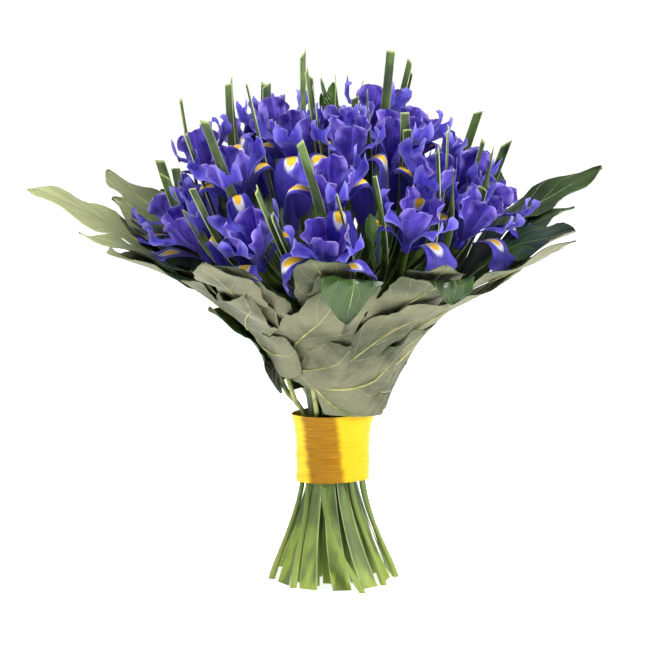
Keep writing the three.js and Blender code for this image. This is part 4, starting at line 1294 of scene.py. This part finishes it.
collar = [make_collar_leaf(leaf, order) for order, leaf in enumerate(LEAVES)]
print("collar leaves:", len(collar), "with", faces_of(collar), "faces")

# %% [markdown]
# ## Filler sprigs
# Thin stalks with a few small leaves fill the gaps between blooms. A real sprig's leaves stand a
# golden angle apart, so none shades the next. They are copies of one small blank, set round the
# stalk by that angle, which is quicker than placing each and just as true.

# %% Sprigs
SPRIG_RADIUS, SPRIG_LEAVES, GOLDEN_ANGLE = 1.3, 7, 137.5
LOWEST_LEAF, LEAF_SPACING, SPRIG_LEAF_CUP = 34, 5, 0.15
SPRIG_LEAF_PATH = [[0, 0], [3, 5], [5, 10], [7, 17], [8, 23], [8.5, 28]]
SPRIG_OUTLINE = [[0, 1], [0.3, 5], [0.55, 6.5], [0.8, 4.5], [1, 0.6]]
SPRIG_STALK_RADII = [[0, 1.3 * SPRIG_RADIUS], [0.3, SPRIG_RADIUS], [1, 0.7]]

sprig_blank = cut_blank("sprig_blank", 6, 10, SPRIG_OUTLINE, sprig_finish)

def make_sprig_leaf(sprig, i):
    leaf = copy_of(sprig_blank, f"sprig_leaf_{i}")
    aside, part = unrolled(leaf)
    angle = math.radians(sprig.azimuth + GOLDEN_ANGLE * i)
    root = place(sprig.seat, sprig.height - LOWEST_LEAF + i * LEAF_SPACING)
    at = through(SPRIG_LEAF_PATH, part)
    out = np.array([math.cos(angle), math.sin(angle), 0])
    side = np.array([-out[1], out[0], 0])
    lift = SPRIG_LEAF_CUP * np.abs(aside)
    points = root + out * (at[:, 0] - lift)[:, None] + side * aside[:, None]
    points[:, 2] += at[:, 1] + lift
    set_coordinates(leaf, keep_in(sprig, points))
    return leaf

def make_sprig(sprig):
    leaves = joined([make_sprig_leaf(sprig, i) for i in range(SPRIG_LEAVES)], "sprig_leaves")
    knots = place(sprig.seat, np.append(np.linspace(0, sprig.height - 30, 12), sprig.height))
    path = lambda part: through(knots, part)
    stalk = lead_along(stalk_blank, "stalk", path, SPRIG_STALK_RADII, stem_finish)
    whole = joined([thickened(leaves, PETAL_THICKNESS), stalk], f"sprig_{sprig.name}")
    return finished(whole, f"filler_sprig_{sprig.name}")

filler = [make_sprig(sprig) for sprig in sprigs]
print("sprigs:", len(filler), "with", faces_of(filler), "faces")

# %% [markdown]
# ## Ribbon
# A satin ribbon is wound round the waist in slightly slanting turns. Pulled tight over the stems,
# it has shallow creases and soft corners, and flares a little at the top. A closed band would be
# quicker, but the turns would be missing. A strip of the ribbon's real width is led round the
# bundle instead, each turn outside the last. It is cloth, so its wall is thin.

# %% Ribbon
RIBBON_INNER, RIBBON_MIDDLE, RIBBON_WIDTH, RIBBON_TURNS = 33.1, 34.5, 62, 2.6
RIBBON_LOW, RIBBON_HIGH, RIBBON_START, TURN_STEP = 125, 129, 100, 0.45
RIBBON_THICKNESS, RIBBON_SLANT, SLANT_AT, RIBBON_CORNER = 0.3, 3.0, 200, 1.2
RIBBON_LIP, LIP_STARTS, LIP_IS_FULL = 2.6, 135, 162
CREASE, FINE_CREASE = 0.28, 0.2

def wind_ribbon():
    strip = cut_blank("ribbon", 20, 260, STRAIGHT, ribbon_finish)
    side, part = unrolled(strip)
    angle = RIBBON_START + 360 * RIBBON_TURNS * part
    turn = np.radians(angle)
    middle = RIBBON_LOW + (RIBBON_HIGH - RIBBON_LOW) * part
    slant = RIBBON_SLANT * np.sin(np.radians(angle - SLANT_AT))
    z = middle + slant + side * RIBBON_WIDTH / 2
    crease = CREASE * np.sin(side * 9 + 2 * np.sin(turn * 1.5)) + FINE_CREASE * np.sin(side * 17 - turn * 2)
    corner = RIBBON_CORNER * np.abs(np.cos(turn * 2.5 + 0.9)) ** 3
    radius = (RIBBON_INNER + TURN_STEP * RIBBON_TURNS * part) * spread(z) + crease + corner
    radius = radius + RIBBON_LIP * smooth(z, LIP_STARTS, LIP_IS_FULL)
    set_coordinates(strip, np.concatenate([polar(radius, angle), z[:, None]], 1))
    return finished(thickened(strip, RIBBON_THICKNESS), "ribbon_band")

ribbon = wind_ribbon()

# %% [markdown]
# ## Twine and blanks
# The twine is hidden under the ribbon. A twisted strand would never be seen, so it keeps its solid
# and only gets a fibrous finish. The blanks have served, and they are removed, because whatever is
# left in the scene would be rendered and exported.

# %% Twine and clearing up
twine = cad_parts["twine_tie"]
twine.data.materials.clear()
twine.data.materials.append(twine_finish)

blanks = [fall_blank, standard_blank, style_blank, stalk_blank, rib_blank, strap_blank, lobe_blank,
          leaf_blank, sprig_blank]
for blank in blanks:
    bpy.data.objects.remove(blank)
print("removed", len(blanks), "blanks")

# %% [markdown]
# ## Floor
# The bouquet stands on a plain white sheet that runs on into the white behind it. A white sheet
# turns grey where the lamps don't reach, so it gives a little light of its own. It only carries
# the picture and is not a part of the bouquet.

# %% Floor
FLOOR_SIZE, FLOOR_GLOW = 60, 0.76

select_only()
bpy.ops.mesh.primitive_plane_add(size=FLOOR_SIZE, location=(0, 0, 0))
floor = bpy.context.object
floor.name = "floor"
floor_white = Finish("floor_white", (0.93, 0.93, 0.93, 1), 0.9, 0.1, follows_surface=False)
floor_white.adjust(Emission_Color=(1, 1, 1, 1), Emission_Strength=FLOOR_GLOW)
floor_white.cover((0.95, 0.95, 0.95, 1), patches(floor_white, 2))
floor.data.materials.append(floor_white.done())
print("floor:", FLOOR_SIZE, "m wide")
